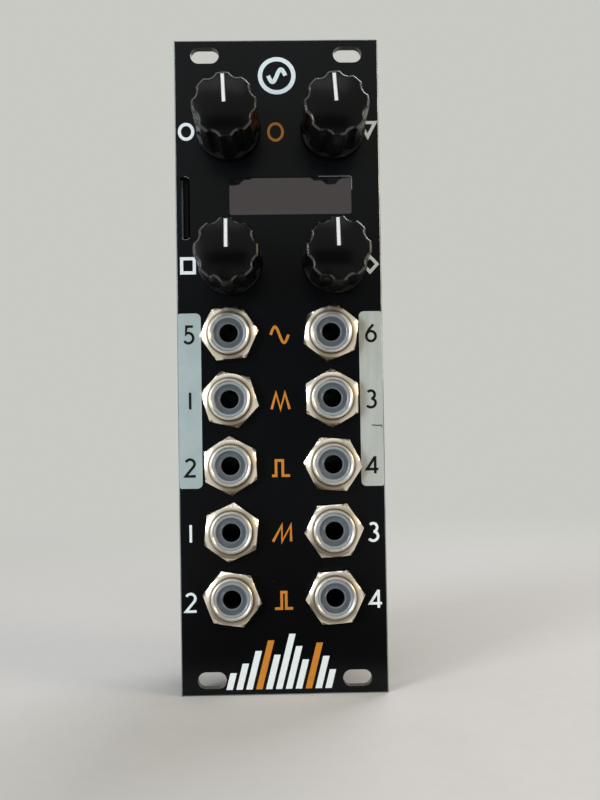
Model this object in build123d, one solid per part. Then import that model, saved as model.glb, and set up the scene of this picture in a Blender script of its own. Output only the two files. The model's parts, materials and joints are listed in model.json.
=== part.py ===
from build123d import *
import math
import os

# A synthesiser module for a 3U rack: a black aluminium panel with four push knobs, a small
# display, a memory card slot and ten 3.5 mm jacks, in front of two circuit boards.
# X runs to the right as seen from the front, Y to the rear and Z up. All sizes are millimetres.
# The origin is the middle of the four rail slots, on the panel's rear face.

# Clearances that every piece shares
fit_gap = 0.05               # round a shaft or a slider, on each side
hole_gap = 0.1               # round a fixed piece in the hole that it passes, on each side
air_gap = 0.3                # between neighbours that should not touch
overrun = 1.0                # how far a cut runs past the faces that it opens

# Panel
panel_thickness = 2.0
panel_edge_break = 0.15
rail_slot_width = 3.2
rail_slot_length = 5.6
rail_slot_drop = 3.0         # slot centres from the top and bottom edges
rail_slot_inset = 6.05       # slot centres from the side edges

# Places of the controls and jacks on the panel, each counted from its neighbour
upper_knob_drop = 17.8       # top edge to the upper knobs
control_row_gap = 14.45      # between the bodies of the two rows of controls
jack_drop = 13.95            # lower knobs to the first jacks
jack_row_gap = 1.3           # between the corners of two nuts in a column
jack_rows = 5
jack_rise = 18.91            # last jacks to the bottom edge
right_knob_inset = 9.2       # knob axes from the panel's right edge
control_card_gap = 0.75      # left controls beside the card's board
jack_column_inset = 10.2     # jack axes from the side edges

# Jacks
nut_flats = 10.0
nut_thickness = 2.0
nut_bevel_angle = 30.0
nut_countersink = 0.3
nut_turns = [5, 22, 47, 30, 32, 56, 24, 4, 51, 4]    # degrees, as each nut was left when tightened
bushing_diameter = 8.0
bushing_bore = 6.9
bushing_proud = 1.0          # in front of the nut
bushing_flange_thickness = 0.8
bushing_bevel = 0.2
plug_diameter = 3.5
plug_play = 0.05             # round a plug in the insert, on each side
insert_recess = 0.3          # behind the bushing's front
insert_rim = 0.5
insert_dish_depth = 0.35
insert_mouth_bevel = 0.25
insert_flange_thickness = 0.6
jack_body_size = 10.6
jack_body_depth = 10.0
jack_body_wall = 0.8
contact_thickness = 0.25
contact_width = 1.0
contact_inset = 1.4          # solder tails from the outside of the jack's body
switch_tail_offset = 2.6     # beside the tip spring's tail
tail_length = 1.2            # behind the board

# Knobs
knob_gap = 1.0               # in front of the panel
knob_height = 14.0
knob_flange_diameter = 12.7
knob_flange_thickness = 1.1
knob_top_diameter = 11.95
knob_draft_angle = 0.7
knob_lobes = 8
knob_scoop_radius = 1.6
knob_scoop_depth = 0.58
knob_lobe_round = 0.7
knob_top_bevel = 0.35
knob_bevel_angle = 45.0
knob_recess_diameter = 9.0
knob_recess_depth = 0.8
pointer_width = 0.85
pointer_length = 5.1
pointer_inset = 0.45         # line's outer end from the lobe's rim
pointer_depth = 0.4

# Shafts, push switches and the bodies of the four controls
shaft_diameter = 6.0
shaft_flat_depth = 1.5
shaft_reach = 11.0           # inside the knob
collar_diameter = 7.8
collar_thickness = 0.6
spindle_diameter = 4.0
spindle_flats = 3.2
push_travel = 0.5
control_size = 12.0
control_depth = 6.5
control_sheet = 0.5
control_bush_diameter = 7.0
control_bush_proud = 0.2     # in front of the panel
control_bush_flange_diameter = 8.8
control_bush_flange_thickness = 0.7
control_cavity_diameter = 10.2
control_floor = 2.6          # thickness of the base behind the rotor
rotor_diameter = 9.4
rotor_thickness = 1.6
rotor_scallops = 20
rotor_scallop_radius = 0.35
rotor_wiper_thickness = 0.25
rotor_wiper_diameter = 1.0
rotor_wiper_radius = 3.6
track_inner_diameter = 6.2
track_outer_diameter = 9.6
track_thickness = 0.2
dome_diameter = 5.0
dome_height = 0.5
dome_thickness = 0.12
dome_well_depth = 1.6
control_pin_width = 0.8
control_pin_thickness = 0.3
control_pin_pitch = 2.5
signal_pin_count = 3
control_pin_inset = 1.2      # pins from the edge of the body
control_lug_width = 2.0

# Circuit boards and what joins them
board_thickness = 1.6
board_side_inset = 1.55      # inside the panel's side edges
board_margin = 1.5           # board's edge above the upper controls
board_foot = 3.35            # board's edge below the last jacks
pin_pitch = 2.54
pin_side = 0.64
pin_hole_diameter = 1.05
pin_proud = 1.4              # solder side
header_column_count = 8
strip_depth = 2.54
socket_depth = 8.5
socket_hole_depth = 6.6
mating_length = 6.0          # pins inside the socket
lower_socket_drop = 22.0     # first jacks to the middle of the lower socket
standoff_flats = 4.0
standoff_bore = 2.1
standoff_inset = 3.5         # from the board's top and bottom edges
screw_diameter = 2.0
screw_head_diameter = 4.0
screw_head_height = 1.6
screw_length = 5.5
screw_recess = 0.9
screw_recess_width = 1.5

# Display
window_width = 24.1
window_height = 7.45
window_corner = 0.5
window_right_inset = 5.65    # window's edge from the panel's edge
glass_height = 11.5
glass_thickness = 1.4
glass_ledge = 3.55           # glass beyond the window, on the side of its ribbon
glass_far_ledge = 2.35       # on the other side
gasket_thickness = 0.25
gasket_margin = 0.4          # gasket's opening outside the window
display_pad_thickness = 0.4
display_board_overhang = 1.6    # beyond the glass, for its pins
display_board_height = 12.0
display_board_thickness = 1.0
display_pin_count = 4
display_pin_inset = 1.4
ribbon_width = 8.5
ribbon_thickness = 0.15
ribbon_tail = 4.0

# Memory card, its socket and the small board that carries it
card_width = 11.0
card_length = 15.0
card_thickness = 0.7
card_grip_thickness = 1.0
card_grip_length = 1.7
card_step = 1.2
card_step_share = 0.42       # of the card's length, from its front end
card_sunk = 1.1              # card's rear end behind the panel's front face
card_slot_width = 1.8
card_side_gap = 0.7          # panel's slot beside the card
card_slot_inset = 1.9        # slot's middle from the panel's left edge
card_window_gap = 8.65       # slot's middle from the window's left edge
card_slot_drop = 2.25        # slot's middle below the window's middle
card_play = 0.15             # in the socket, on each side
card_overtravel = 0.6        # that the card is pushed in by to release it
card_socket_wall = 1.35      # beside the card
card_socket_end_wall = 0.35
card_socket_inset = 0.3      # behind the panel
card_socket_floor = 0.3
card_shell_thickness = 0.3
card_contact_count = 8
card_contact_pitch = 1.1
card_contact_width = 0.5
card_contact_thickness = 0.1
card_contact_length = 3.0
card_board_thickness = 1.0
card_board_margin = 1.0      # beside the socket
card_board_inset = 0.6       # behind the panel
card_board_tail = 3.4        # beyond the socket's rear end
card_pin_count = 8
card_pin_pitch = 1.27
card_pin_side = 0.4
card_pin_hole_diameter = 0.7
card_strip_height = 2.5
card_strip_width = 3.0
card_pin_proud = 0.8

# Connectors on the rear board
power_row_count = 2
power_column_count = 8
power_length = 27.9
power_width = 8.9
power_depth = 9.0
power_wall = 1.1
power_floor = 2.0
power_key_width = 4.5
power_key_depth = 6.5
power_pin_reach = 7.6
power_rise = 14.0            # header's middle above the board's lower edge
expansion_row_count = 2
expansion_column_count = 4
expansion_drop = 8.5         # header's middle below the board's top edge
expansion_offset = 8.5       # to the right of the board's middle
expansion_pin_reach = 8.5

# Chips, capacitors and resistors
lead_thickness = 0.15
lead_length = 1.05
chip_lift = 0.1              # under a chip's body
processor_size = 14.0
processor_height = 1.4
processor_lead_pitch = 0.8
processor_lead_count = 16    # on each side
processor_lead_width = 0.35
processor_drop = 33.0        # chip's middle below the board's top edge
amplifier_length = 8.7
amplifier_width = 3.9
amplifier_height = 1.6
amplifier_lead_pitch = 1.27
amplifier_lead_count = 7
amplifier_lead_width = 0.42
amplifier_rows = 4
converter_length = 9.8
converter_width = 5.3
converter_height = 1.7
converter_lead_pitch = 0.65
converter_lead_count = 14
converter_lead_width = 0.3
converter_gap = 5.0          # below the processor
memory_length = 10.2
memory_width = 5.6
memory_height = 1.0
memory_offset = 8.0          # to the left of the board's middle
regulator_length = 6.1
regulator_width = 6.5
regulator_height = 2.3
regulator_tab_length = 1.2
regulator_tab_thickness = 0.5
regulator_offset = 7.6       # beside the board's middle
can_diameter = 6.3
can_height = 5.8
can_base_height = 1.2
can_groove_depth = 0.25
can_groove_rise = 1.3
can_side_gap = 0.2           # beside the regulators
can_pitch = 9.2
can_count = 4
can_gap = 4.0                # first can above the power header
crystal_length = 5.0
crystal_width = 3.2
crystal_height = 0.9
crystal_offset = 12.0
chip_part_length = 2.0
chip_part_width = 1.25
resistor_height = 0.5
capacitor_height = 0.95
chip_part_gap = 1.1          # beside an amplifier's leads
chip_part_pitch = 2.1
amplifier_part_count = 3
decoupler_count = 5
decoupler_gap = 1.4          # beside the processor's leads
decoupler_pitch = 3.0

# Places that follow from the sizes above
nut_corners = nut_flats / math.cos(math.pi / 6)
jack_row_pitch = nut_corners + jack_row_gap
knob_row_pitch = control_size + control_row_gap
panel_height = upper_knob_drop + knob_row_pitch + jack_drop + (jack_rows - 1) * jack_row_pitch + jack_rise
panel_width = card_slot_inset + card_window_gap + window_width + window_right_inset
panel_top = panel_height / 2
panel_right = panel_width / 2
panel_front = -panel_thickness

card_x = -panel_right + card_slot_inset
card_cavity_thickness = card_grip_thickness + 2 * card_play
card_cavity_right = card_x + card_cavity_thickness / 2
card_cavity_left = card_x - card_cavity_thickness / 2
card_board_left = card_cavity_right + card_socket_floor
card_board_right = card_board_left + card_board_thickness

upper_knob_z = panel_top - upper_knob_drop
lower_knob_z = upper_knob_z - knob_row_pitch
first_jack_z = lower_knob_z - jack_drop
last_jack_z = first_jack_z - (jack_rows - 1) * jack_row_pitch
left_knob_x = card_board_right + control_card_gap + control_size / 2
right_knob_x = panel_right - right_knob_inset
jack_x = panel_right - jack_column_inset
jack_rows_z = [first_jack_z - row * jack_row_pitch for row in range(jack_rows)]
jack_places = [(x, z) for z in jack_rows_z for x in (-jack_x, jack_x)]

control_places = {
    "upper_left": (left_knob_x, upper_knob_z),
    "upper_right": (right_knob_x, upper_knob_z),
    "lower_left": (left_knob_x, lower_knob_z),
    "lower_right": (right_knob_x, lower_knob_z),
}
encoder_places = [control_places["upper_left"], control_places["upper_right"]]
pot_places = [control_places["lower_left"], control_places["lower_right"]]
pointer_turns = {"upper_left": 2.2, "upper_right": 4.1, "lower_left": -0.4, "lower_right": 1.3}

window_x = panel_right - window_right_inset - window_width / 2
window_z = (upper_knob_z + lower_knob_z) / 2
card_z = window_z - card_slot_drop

board_front = jack_body_depth
board_rear = board_front + board_thickness
rear_board_front = board_rear + socket_depth + strip_depth
rear_board_rear = rear_board_front + board_thickness
board_right = panel_right - board_side_inset
board_top = upper_knob_z + control_size / 2 + board_margin
board_bottom = last_jack_z - jack_body_size / 2 - board_foot
board_height = board_top - board_bottom
board_middle_z = (board_top + board_bottom) / 2
tail_end = board_rear + tail_length

nut_front = panel_front - nut_thickness
bushing_front = nut_front - bushing_proud
insert_bore = plug_diameter + 2 * plug_play
insert_diameter = bushing_bore - 2 * fit_gap
insert_front = bushing_front + insert_recess
jack_cavity = jack_body_size - 2 * jack_body_wall
bushing_flange_diameter = jack_cavity - 2 * fit_gap
bushing_rear = jack_body_wall + bushing_flange_thickness
insert_rear = bushing_rear + insert_flange_thickness
contact_z = jack_body_size / 2 - contact_inset

control_front = board_front - control_depth
collar_front = control_front + control_sheet + fit_gap
collar_rear = collar_front + collar_thickness
rotor_front = collar_rear + push_travel + hole_gap
rotor_rear = rotor_front + rotor_thickness
control_floor_y = board_front - control_floor
dome_seat_y = control_floor_y + dome_well_depth
spindle_end = dome_seat_y - dome_height - push_travel - fit_gap
knob_back = panel_front - knob_gap
knob_top = knob_back - knob_height
shaft_tip = knob_back - shaft_reach
control_pin_front = control_floor_y + control_sheet
control_pin_z = control_size / 2 - control_pin_inset

glass_front = gasket_thickness
glass_rear = glass_front + glass_thickness
glass_left = window_x - window_width / 2 - glass_ledge
glass_width = glass_ledge + window_width + glass_far_ledge
glass_x = glass_left + glass_width / 2
display_board_front = glass_rear + display_pad_thickness
display_board_rear = display_board_front + display_board_thickness
display_board_width = glass_width + display_board_overhang
display_board_x = glass_left + display_board_width / 2
display_pin_x = glass_left + display_board_width - display_pin_inset

card_front_y = panel_front + card_sunk
card_rear_y = card_front_y + card_length
card_stop = card_rear_y + card_overtravel + card_play
card_socket_width = card_width + 2 * card_play + 2 * card_socket_wall
card_socket_rear = card_stop + card_socket_end_wall
card_board_height = card_socket_width + 2 * card_board_margin
card_board_rear = card_socket_rear + card_board_tail
card_notch_right = card_board_right + air_gap
card_strip_right = card_board_right + card_strip_width
card_pin_y = board_rear + card_strip_height / 2
card_pin_x = card_strip_right - card_pin_side - hole_gap

upper_socket_x = window_x
upper_socket_z = window_z
lower_socket_z = first_jack_z - lower_socket_drop
standoff_places = [
    ((left_knob_x + right_knob_x) / 2, board_top - standoff_inset),
    (0, board_bottom + standoff_inset),
]

power_z = board_bottom + power_rise
expansion_z = board_top - expansion_drop
processor_z = board_top - processor_drop
converter_z = processor_z - processor_size / 2 - lead_length - converter_gap
first_can_z = power_z + power_width / 2 + can_gap + can_diameter / 2
regulator_z = first_can_z
can_x = regulator_offset + regulator_width / 2 + can_side_gap + can_diameter / 2


# Small helpers for pieces that lie along Y, drawn as seen from the front
def slab(sketch, front, rear, x=0.0, z=0.0):
    """Solid with the sketch's outline between two depths."""
    plane = Plane(origin=(x, rear, z), x_dir=(1, 0, 0), z_dir=(0, -1, 0))
    return extrude(plane * sketch, amount=rear - front)


def block(width, height, front, rear, x=0.0, z=0.0):
    """Box between two depths, centred on x and z."""
    return slab(Rectangle(width, height), front, rear, x, z)


def disc(diameter, front, rear, x=0.0, z=0.0):
    """Round bar along Y."""
    return slab(Circle(diameter / 2), front, rear, x, z)


def tube(outer, inner, front, rear):
    """Round tube along Y, about the origin."""
    return slab(Circle(outer / 2) - Circle(inner / 2), front, rear)


def turned(points):
    """Solid of revolution about Y, from points of radius and depth."""
    return revolve(Polygon(*points, align=None), axis=Axis.Y)


def group(shapes):
    """Several separate solids kept together as one piece of the model."""
    return Compound(children=[solid for shape in shapes for solid in shape.solids()])


def repeated(shape, places):
    """Copies of a shape about the origin at places across the front."""
    return group(Pos(x, 0, z) * shape for x, z in places)


def grid(columns, rows, pitch, x=0.0, z=0.0):
    """Places of a rectangular pattern about its middle."""
    return [
        (x + (column - (columns - 1) / 2) * pitch, z + (row - (rows - 1) / 2) * pitch)
        for column in range(columns)
        for row in range(rows)
    ]


def strip(points, thickness):
    """Outline of a bent leaf of even thickness along a line of points."""
    one_side, other_side = [], []
    for index, point in enumerate(points):
        here = Vector(*point)
        into = (here - Vector(*points[index - 1])) if index > 0 else Vector(*points[1]) - here
        last = index == len(points) - 1
        out = into if last else Vector(*points[index + 1]) - here
        into, out = into.normalized(), out.normalized()
        side = Vector(-into.Y, into.X) + Vector(-out.Y, out.X)
        side = side * (thickness / 2 / (1 + into.dot(out)))
        one_side.append(here + side)
        other_side.append(here - side)
    outline = one_side + other_side[::-1]
    return Polygon(*[(corner.X, corner.Y) for corner in outline], align=None)


def leaf(points, thickness, width, x=0.0):
    """Bent leaf in a plane across X, from points of depth and height."""
    return Pos(x, 0, 0) * extrude(Plane.YZ * strip(points, thickness), amount=width / 2, both=True)


# Panel
def front_panel():
    outline = Rectangle(panel_width, panel_height)
    slots = [
        Pos(sx * (panel_right - rail_slot_inset), sz * (panel_top - rail_slot_drop))
        * SlotOverall(rail_slot_length, rail_slot_width)
        for sx in (-1, 1)
        for sz in (-1, 1)
    ]
    jack_holes = [Pos(x, z) * Circle(bushing_diameter / 2 + hole_gap) for x, z in jack_places]
    control_holes = [
        Pos(x, z) * Circle(control_bush_diameter / 2 + hole_gap) for x, z in control_places.values()
    ]
    window = Pos(window_x, window_z) * RectangleRounded(window_width, window_height, window_corner)
    card_slot = Pos(card_x, card_z) * RectangleRounded(
        card_slot_width, card_width + 2 * card_side_gap, card_slot_width / 4
    )
    sheet = slab(outline - slots - jack_holes - control_holes - window - card_slot, panel_front, 0)
    front_edges = sheet.faces().sort_by(Axis.Y)[0].outer_wire().edges()
    return chamfer(front_edges, panel_edge_break)


# Jacks
def jack_nut(turn):
    hexagon = Rot(0, 0, turn) * RegularPolygon(nut_flats / 2, 6, major_radius=False)
    hole = Circle(bushing_diameter / 2 + fit_gap)
    blank = slab(hexagon - hole, nut_front, panel_front)
    reach = nut_thickness / math.tan(math.radians(nut_bevel_angle))
    bevel = turned([
        (0, nut_front),
        (nut_flats / 2, nut_front),
        (nut_flats / 2 + reach, panel_front),
        (0, panel_front),
    ])
    countersink_radius = bushing_diameter / 2 + fit_gap + nut_countersink
    countersink = turned([
        (0, nut_front),
        (countersink_radius, nut_front),
        (countersink_radius - nut_countersink, nut_front + nut_countersink),
        (0, nut_front + nut_countersink),
    ])
    return (blank & bevel) - countersink


def jack_nuts():
    return group(Pos(x, 0, z) * jack_nut(turn) for (x, z), turn in zip(jack_places, nut_turns))


def jack_bushing():
    bore = bushing_bore / 2
    thread = bushing_diameter / 2
    flange = bushing_flange_diameter / 2
    return turned([
        (bore, bushing_rear),
        (flange, bushing_rear),
        (flange, jack_body_wall),
        (thread, jack_body_wall),
        (thread, bushing_front + bushing_bevel),
        (thread - bushing_bevel, bushing_front),
        (bore + bushing_bevel, bushing_front),
        (bore, bushing_front + bushing_bevel),
    ])


def jack_insert():
    bore = insert_bore / 2
    rim = insert_diameter / 2 - insert_rim
    floor = insert_front + insert_dish_depth
    return turned([
        (insert_diameter / 2, insert_front),
        (insert_diameter / 2, bushing_rear),
        (bushing_flange_diameter / 2, bushing_rear),
        (bushing_flange_diameter / 2, insert_rear),
        (bore, insert_rear),
        (bore, floor + insert_mouth_bevel),
        (bore + insert_mouth_bevel, floor),
        (rim - insert_mouth_bevel, floor),
        (rim, insert_front),
    ])


def jack_housing():
    outside = Rectangle(jack_body_size, jack_body_size)
    inside = Rectangle(jack_cavity, jack_cavity)
    front_wall = slab(outside - Circle(bushing_diameter / 2 + fit_gap), 0, jack_body_wall)
    sides = slab(outside - inside, jack_body_wall, board_front)
    return front_wall + sides


# Leaf points as shares of the body's depth and half height, from the tail to the free end
sleeve_spring_shares = [(0.88, -1), (0.42, -0.46), (0.3, -0.6)]
tip_spring_shares = [(0.96, 1), (0.82, 0.38), (0.54, 0.7), (0.46, 0.75)]
switch_arm_shares = [(0.84, 1), (0.47, 0.825)]


def leaf_points(shares):
    return [(jack_body_depth * depth, contact_z * height) for depth, height in shares]


def sleeve_spring():
    tail = [(tail_end, -contact_z)]
    return leaf(tail + leaf_points(sleeve_spring_shares), contact_thickness, contact_width)


def tip_spring():
    tail = [(tail_end, contact_z)]
    return leaf(tail + leaf_points(tip_spring_shares), contact_thickness, contact_width)


def switch_contact():
    arm_points = leaf_points(switch_arm_shares)
    tail_points = [(tail_end, contact_z), arm_points[0]]
    tail = leaf(tail_points, contact_thickness, contact_width, switch_tail_offset)
    arm_width = switch_tail_offset + contact_width
    arm = leaf(arm_points, contact_thickness, arm_width, switch_tail_offset / 2)
    return tail + arm


# Knobs, with their pointer lines
def turned_to(name, shape):
    """Piece of a control at its place, turned as its knob is set."""
    x, z = control_places[name]
    return Pos(x, 0, z) * Rot(0, -pointer_turns[name], 0) * shape


def pointer():
    """Pointer line let into the knob's top."""
    middle = knob_top_diameter / 2 - pointer_inset - pointer_length / 2
    return block(pointer_width, pointer_length, knob_top, knob_top + pointer_depth, 0, middle)


def shaft_section(gap):
    """Shaft's round outline with its flat below, grown by a gap."""
    radius = shaft_diameter / 2 + gap
    flat = shaft_diameter / 2 - shaft_flat_depth + gap
    above_flat = Pos(0, (radius - flat) / 2) * Rectangle(2 * radius, radius + flat)
    return Circle(radius) & above_flat


def knob():
    body_back = knob_back - knob_flange_thickness
    body_height = knob_height - knob_flange_thickness - knob_top_bevel
    base_radius = knob_top_diameter / 2 + body_height * math.tan(math.radians(knob_draft_angle))
    scoop_place = base_radius - knob_scoop_depth + knob_scoop_radius
    scoops = [
        Rot(0, 0, 360 * (lobe + 0.5) / knob_lobes) * Pos(scoop_place, 0) * Circle(knob_scoop_radius)
        for lobe in range(knob_lobes)
    ]
    outline = Circle(base_radius) - scoops
    outline = fillet(outline.vertices(), knob_lobe_round)
    plane = Plane(origin=(0, body_back, 0), x_dir=(1, 0, 0), z_dir=(0, -1, 0))
    body = extrude(plane * outline, amount=body_height, taper=knob_draft_angle)
    crown = body.faces().sort_by(Axis.Y)[0]
    body += extrude(crown, amount=knob_top_bevel, taper=knob_bevel_angle)
    flange = disc(knob_flange_diameter, body_back, knob_back)
    recess = disc(knob_recess_diameter, knob_back - knob_recess_depth, knob_back + overrun)
    bore = slab(shaft_section(fit_gap), shaft_tip - fit_gap, knob_back + overrun)
    return body + flange - recess - bore - pointer()


# Shafts, rotors and switch domes
def shaft():
    body = disc(shaft_diameter, knob_back, collar_front)
    flat_part = slab(shaft_section(0), shaft_tip, knob_back)
    collar = disc(collar_diameter, collar_front, collar_rear)
    spindle = slab(spindle_section(0), collar_rear, spindle_end)
    return body + flat_part + collar + spindle


def spindle_section(gap):
    """Round outline with two flats, grown by a gap."""
    flats = Rectangle(spindle_diameter + 2 * gap, spindle_flats + 2 * gap)
    return Circle(spindle_diameter / 2 + gap) & flats


def rotor(scallops):
    """Disc on the spindle, with wiper pads and, where asked, detent scallops round its edge."""
    outline = Circle(rotor_diameter / 2) - spindle_section(fit_gap)
    if scallops:
        outline -= [
            Rot(0, 0, 360 * step / scallops) * Pos(rotor_diameter / 2, 0) * Circle(rotor_scallop_radius)
            for step in range(scallops)
        ]
    body = slab(outline, rotor_front, rotor_rear)
    pads = [
        disc(rotor_wiper_diameter, rotor_rear, rotor_rear + rotor_wiper_thickness, side * rotor_wiper_radius)
        for side in (-1, 1)
    ]
    return body + pads


def switch_dome():
    """Thin sprung cap under the spindle's end."""
    radius = dome_diameter / 2
    sphere_radius = (radius ** 2 + dome_height ** 2) / (2 * dome_height)
    centre = dome_seat_y - dome_height + sphere_radius
    ball = Pos(0, centre, 0) * Sphere(sphere_radius)
    hollow = Pos(0, centre, 0) * Sphere(sphere_radius - dome_thickness)
    keep = disc(dome_diameter + overrun, dome_seat_y - dome_height - overrun, dome_seat_y)
    return (ball - hollow) & keep


# Bodies of the controls
def control_pin_places():
    """Signal pins along the lower edge and two switch pins along the upper edge."""
    lower = [(x, -control_pin_z) for x, _ in grid(signal_pin_count, 1, control_pin_pitch)]
    upper = [(side * control_pin_pitch, control_pin_z) for side in (-1, 1)]
    return lower + upper


def control_frame():
    """Sheet cover: a front plate and two side cheeks that end in lugs through the board."""
    hole = Circle(shaft_diameter / 2 + fit_gap)
    plate = slab(Rectangle(control_size, control_size) - hole, control_front, control_front + control_sheet)
    cheek_x = (control_size - control_sheet) / 2
    cheek_front = control_front + control_sheet
    cheek_rear = board_front - control_sheet
    cheek = block(control_sheet, control_size, cheek_front, cheek_rear)
    lug = block(control_sheet, control_lug_width, cheek_rear, tail_end)
    return plate + [Pos(side * cheek_x, 0, 0) * (cheek + lug) for side in (-1, 1)]


def control_bush():
    """Plain guide bush that the shaft turns and slides in."""
    bore = shaft_diameter + 2 * fit_gap
    front = panel_front - control_bush_proud
    neck = tube(control_bush_diameter, bore, front, control_front - control_bush_flange_thickness)
    flange = tube(
        control_bush_flange_diameter, bore, control_front - control_bush_flange_thickness, control_front
    )
    return neck + flange


def control_pin():
    return block(control_pin_width, control_pin_thickness, control_pin_front, tail_end)


def control_pin_set():
    return group(Pos(x, 0, z) * control_pin() for x, z in control_pin_places())


def control_base():
    """Plastic base between the cheeks: the rotor's cavity, the dome's well and the pins' slots."""
    width = control_size - 2 * control_sheet
    front = control_front + control_sheet
    body = block(width, control_size, front, board_front)
    cavity = disc(control_cavity_diameter, front - overrun, control_floor_y)
    well = disc(dome_diameter + 2 * fit_gap, control_floor_y - overrun, dome_seat_y)
    return body - cavity - well - control_pin_set().solids()


def pot_track():
    """Resistive ring on the cavity's floor."""
    front = control_floor_y - track_thickness
    return tube(track_outer_diameter, track_inner_diameter, front, control_floor_y)


# Boards
def round_holes(places, diameter):
    return [Pos(x, z) * Circle(diameter / 2) for x, z in places]


def jack_tail_places():
    offsets = [(0, -contact_z), (0, contact_z), (switch_tail_offset, contact_z)]
    return [(x + dx, z + dz) for x, z in jack_places for dx, dz in offsets]


def socket_places():
    upper = grid(header_column_count, 2, pin_pitch, upper_socket_x, upper_socket_z)
    lower = grid(2, header_column_count, pin_pitch, 0, lower_socket_z)
    return upper + lower


def display_pin_places():
    return grid(1, display_pin_count, pin_pitch, display_pin_x, window_z)


def card_pin_heights():
    return [z for _, z in grid(1, card_pin_count, card_pin_pitch, 0, window_z)]


def lug_slots():
    """Slots in the board for the sheet lugs of the controls."""
    cheek_x = (control_size - control_sheet) / 2
    slot = Rectangle(control_sheet + 2 * hole_gap, control_lug_width + 2 * hole_gap)
    return [Pos(x + side * cheek_x, z) * slot for x, z in control_places.values() for side in (-1, 1)]


def main_board():
    outline = Pos(0, board_middle_z) * Rectangle(2 * board_right, board_height)
    notch_width = card_notch_right + board_right
    notch = Pos(-board_right + notch_width / 2, card_z) * Rectangle(
        notch_width, card_board_height + 2 * air_gap
    )
    tail_hole = math.hypot(contact_width, contact_thickness) + 2 * hole_gap
    pin_hole = math.hypot(control_pin_width, control_pin_thickness) + 2 * hole_gap
    signal = [(x + dx, z + dz) for x, z in control_places.values() for dx, dz in control_pin_places()]
    card_pins = [(card_pin_x, z) for z in card_pin_heights()]
    holes = (
        round_holes(jack_tail_places(), tail_hole)
        + round_holes(signal, pin_hole)
        + round_holes(socket_places() + display_pin_places(), pin_hole_diameter)
        + round_holes(card_pins, card_pin_hole_diameter)
        + round_holes(standoff_places, screw_diameter + 2 * hole_gap)
        + lug_slots()
    )
    return slab(outline - notch - holes, board_front, board_rear)


def rear_board():
    outline = Pos(0, board_middle_z) * Rectangle(2 * board_right, board_height)
    pins = socket_places() + power_places() + expansion_places()
    holes = round_holes(pins, pin_hole_diameter) + round_holes(
        standoff_places, screw_diameter + 2 * hole_gap
    )
    return slab(outline - holes, rear_board_front, rear_board_rear)


# Connectors between the boards
def pin(front, rear):
    return block(pin_side, pin_side, front, rear)


def strip_outline(columns, rows):
    return Rectangle(columns * pin_pitch, rows * pin_pitch)


def pin_openings(places, gap):
    side = pin_side + 2 * gap
    return [Pos(x, z) * Rectangle(side, side) for x, z in places]


def board_socket(columns, rows):
    """Socket strip on the main board: blind holes for the mating pins, solder pins below them."""
    places = grid(columns, rows, pin_pitch)
    outline = strip_outline(columns, rows)
    hole_floor = board_rear + socket_depth - socket_hole_depth
    base = slab(outline - pin_openings(places, 0), board_rear, hole_floor)
    top = slab(outline - pin_openings(places, hole_gap), hole_floor, board_rear + socket_depth)
    return base + top


def board_sockets():
    upper = Pos(upper_socket_x, 0, upper_socket_z) * board_socket(header_column_count, 2)
    lower = Pos(0, 0, lower_socket_z) * board_socket(2, header_column_count)
    return group([upper, lower])


def pin_strip(columns, rows, front):
    """Plastic strip that holds a block of pins."""
    outline = strip_outline(columns, rows) - pin_openings(grid(columns, rows, pin_pitch), 0)
    return slab(outline, front, front + strip_depth)


def header_strips():
    """Strips that hold the pins of the rear board, of the display and of the expansion header."""
    front = board_rear + socket_depth
    upper = Pos(upper_socket_x, 0, upper_socket_z) * pin_strip(header_column_count, 2, front)
    lower = Pos(0, 0, lower_socket_z) * pin_strip(2, header_column_count, front)
    display = pin_strip(1, display_pin_count, board_front - strip_depth)
    expansion = pin_strip(expansion_column_count, expansion_row_count, rear_board_rear)
    return group([
        upper,
        lower,
        Pos(display_pin_x, 0, window_z) * display,
        Pos(expansion_offset, 0, expansion_z) * expansion,
    ])


def board_pins():
    """Solder pins of the sockets, the pins that mate with them, and the display's pins."""
    hole_floor = board_rear + socket_depth - socket_hole_depth
    mating_end = board_rear + socket_depth - mating_length
    socket_pin = pin(board_front - pin_proud, hole_floor)
    mating_pin = pin(mating_end, rear_board_rear + pin_proud)
    display_pin = pin(display_board_front - air_gap, tail_end)
    return group(
        [Pos(x, 0, z) * solid for x, z in socket_places() for solid in (socket_pin, mating_pin)]
        + [Pos(x, 0, z) * display_pin for x, z in display_pin_places()]
    )


def standoffs():
    outline = RegularPolygon(standoff_flats / 2, 6, major_radius=False) - Circle(standoff_bore / 2)
    return repeated(slab(outline, board_rear, rear_board_front), standoff_places)


def standoff_screw():
    """Pan head screw that points to the rear from the face at zero depth, with a hexagon recess."""
    shank = disc(screw_diameter, 0, screw_length)
    head = disc(screw_head_diameter, -screw_head_height, 0)
    rim = head.faces().sort_by(Axis.Y)[0].edges()
    head = fillet(rim, screw_head_height / 3)
    recess = slab(
        RegularPolygon(screw_recess_width / 2, 6, major_radius=False),
        -screw_head_height - overrun,
        -screw_head_height + screw_recess,
    )
    return shank + head - recess


def standoff_screws():
    front = [Pos(x, board_front, z) * standoff_screw() for x, z in standoff_places]
    rear = [Pos(x, rear_board_rear, z) * Rot(180, 0, 0) * standoff_screw() for x, z in standoff_places]
    return group(front + rear)


# Display
def display_gasket():
    opening = Pos(window_x, window_z) * Rectangle(
        window_width + 2 * gasket_margin, window_height + 2 * gasket_margin
    )
    outline = Pos(glass_x, window_z) * Rectangle(glass_width, glass_height)
    return slab(outline - opening, 0, glass_front)


def display_glass():
    return block(glass_width, glass_height, glass_front, glass_rear, glass_x, window_z)


def display_pad():
    side = glass_width - 2 * gasket_margin
    return block(side, glass_height - 2 * gasket_margin, glass_rear, display_board_front, glass_x, window_z)


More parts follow.
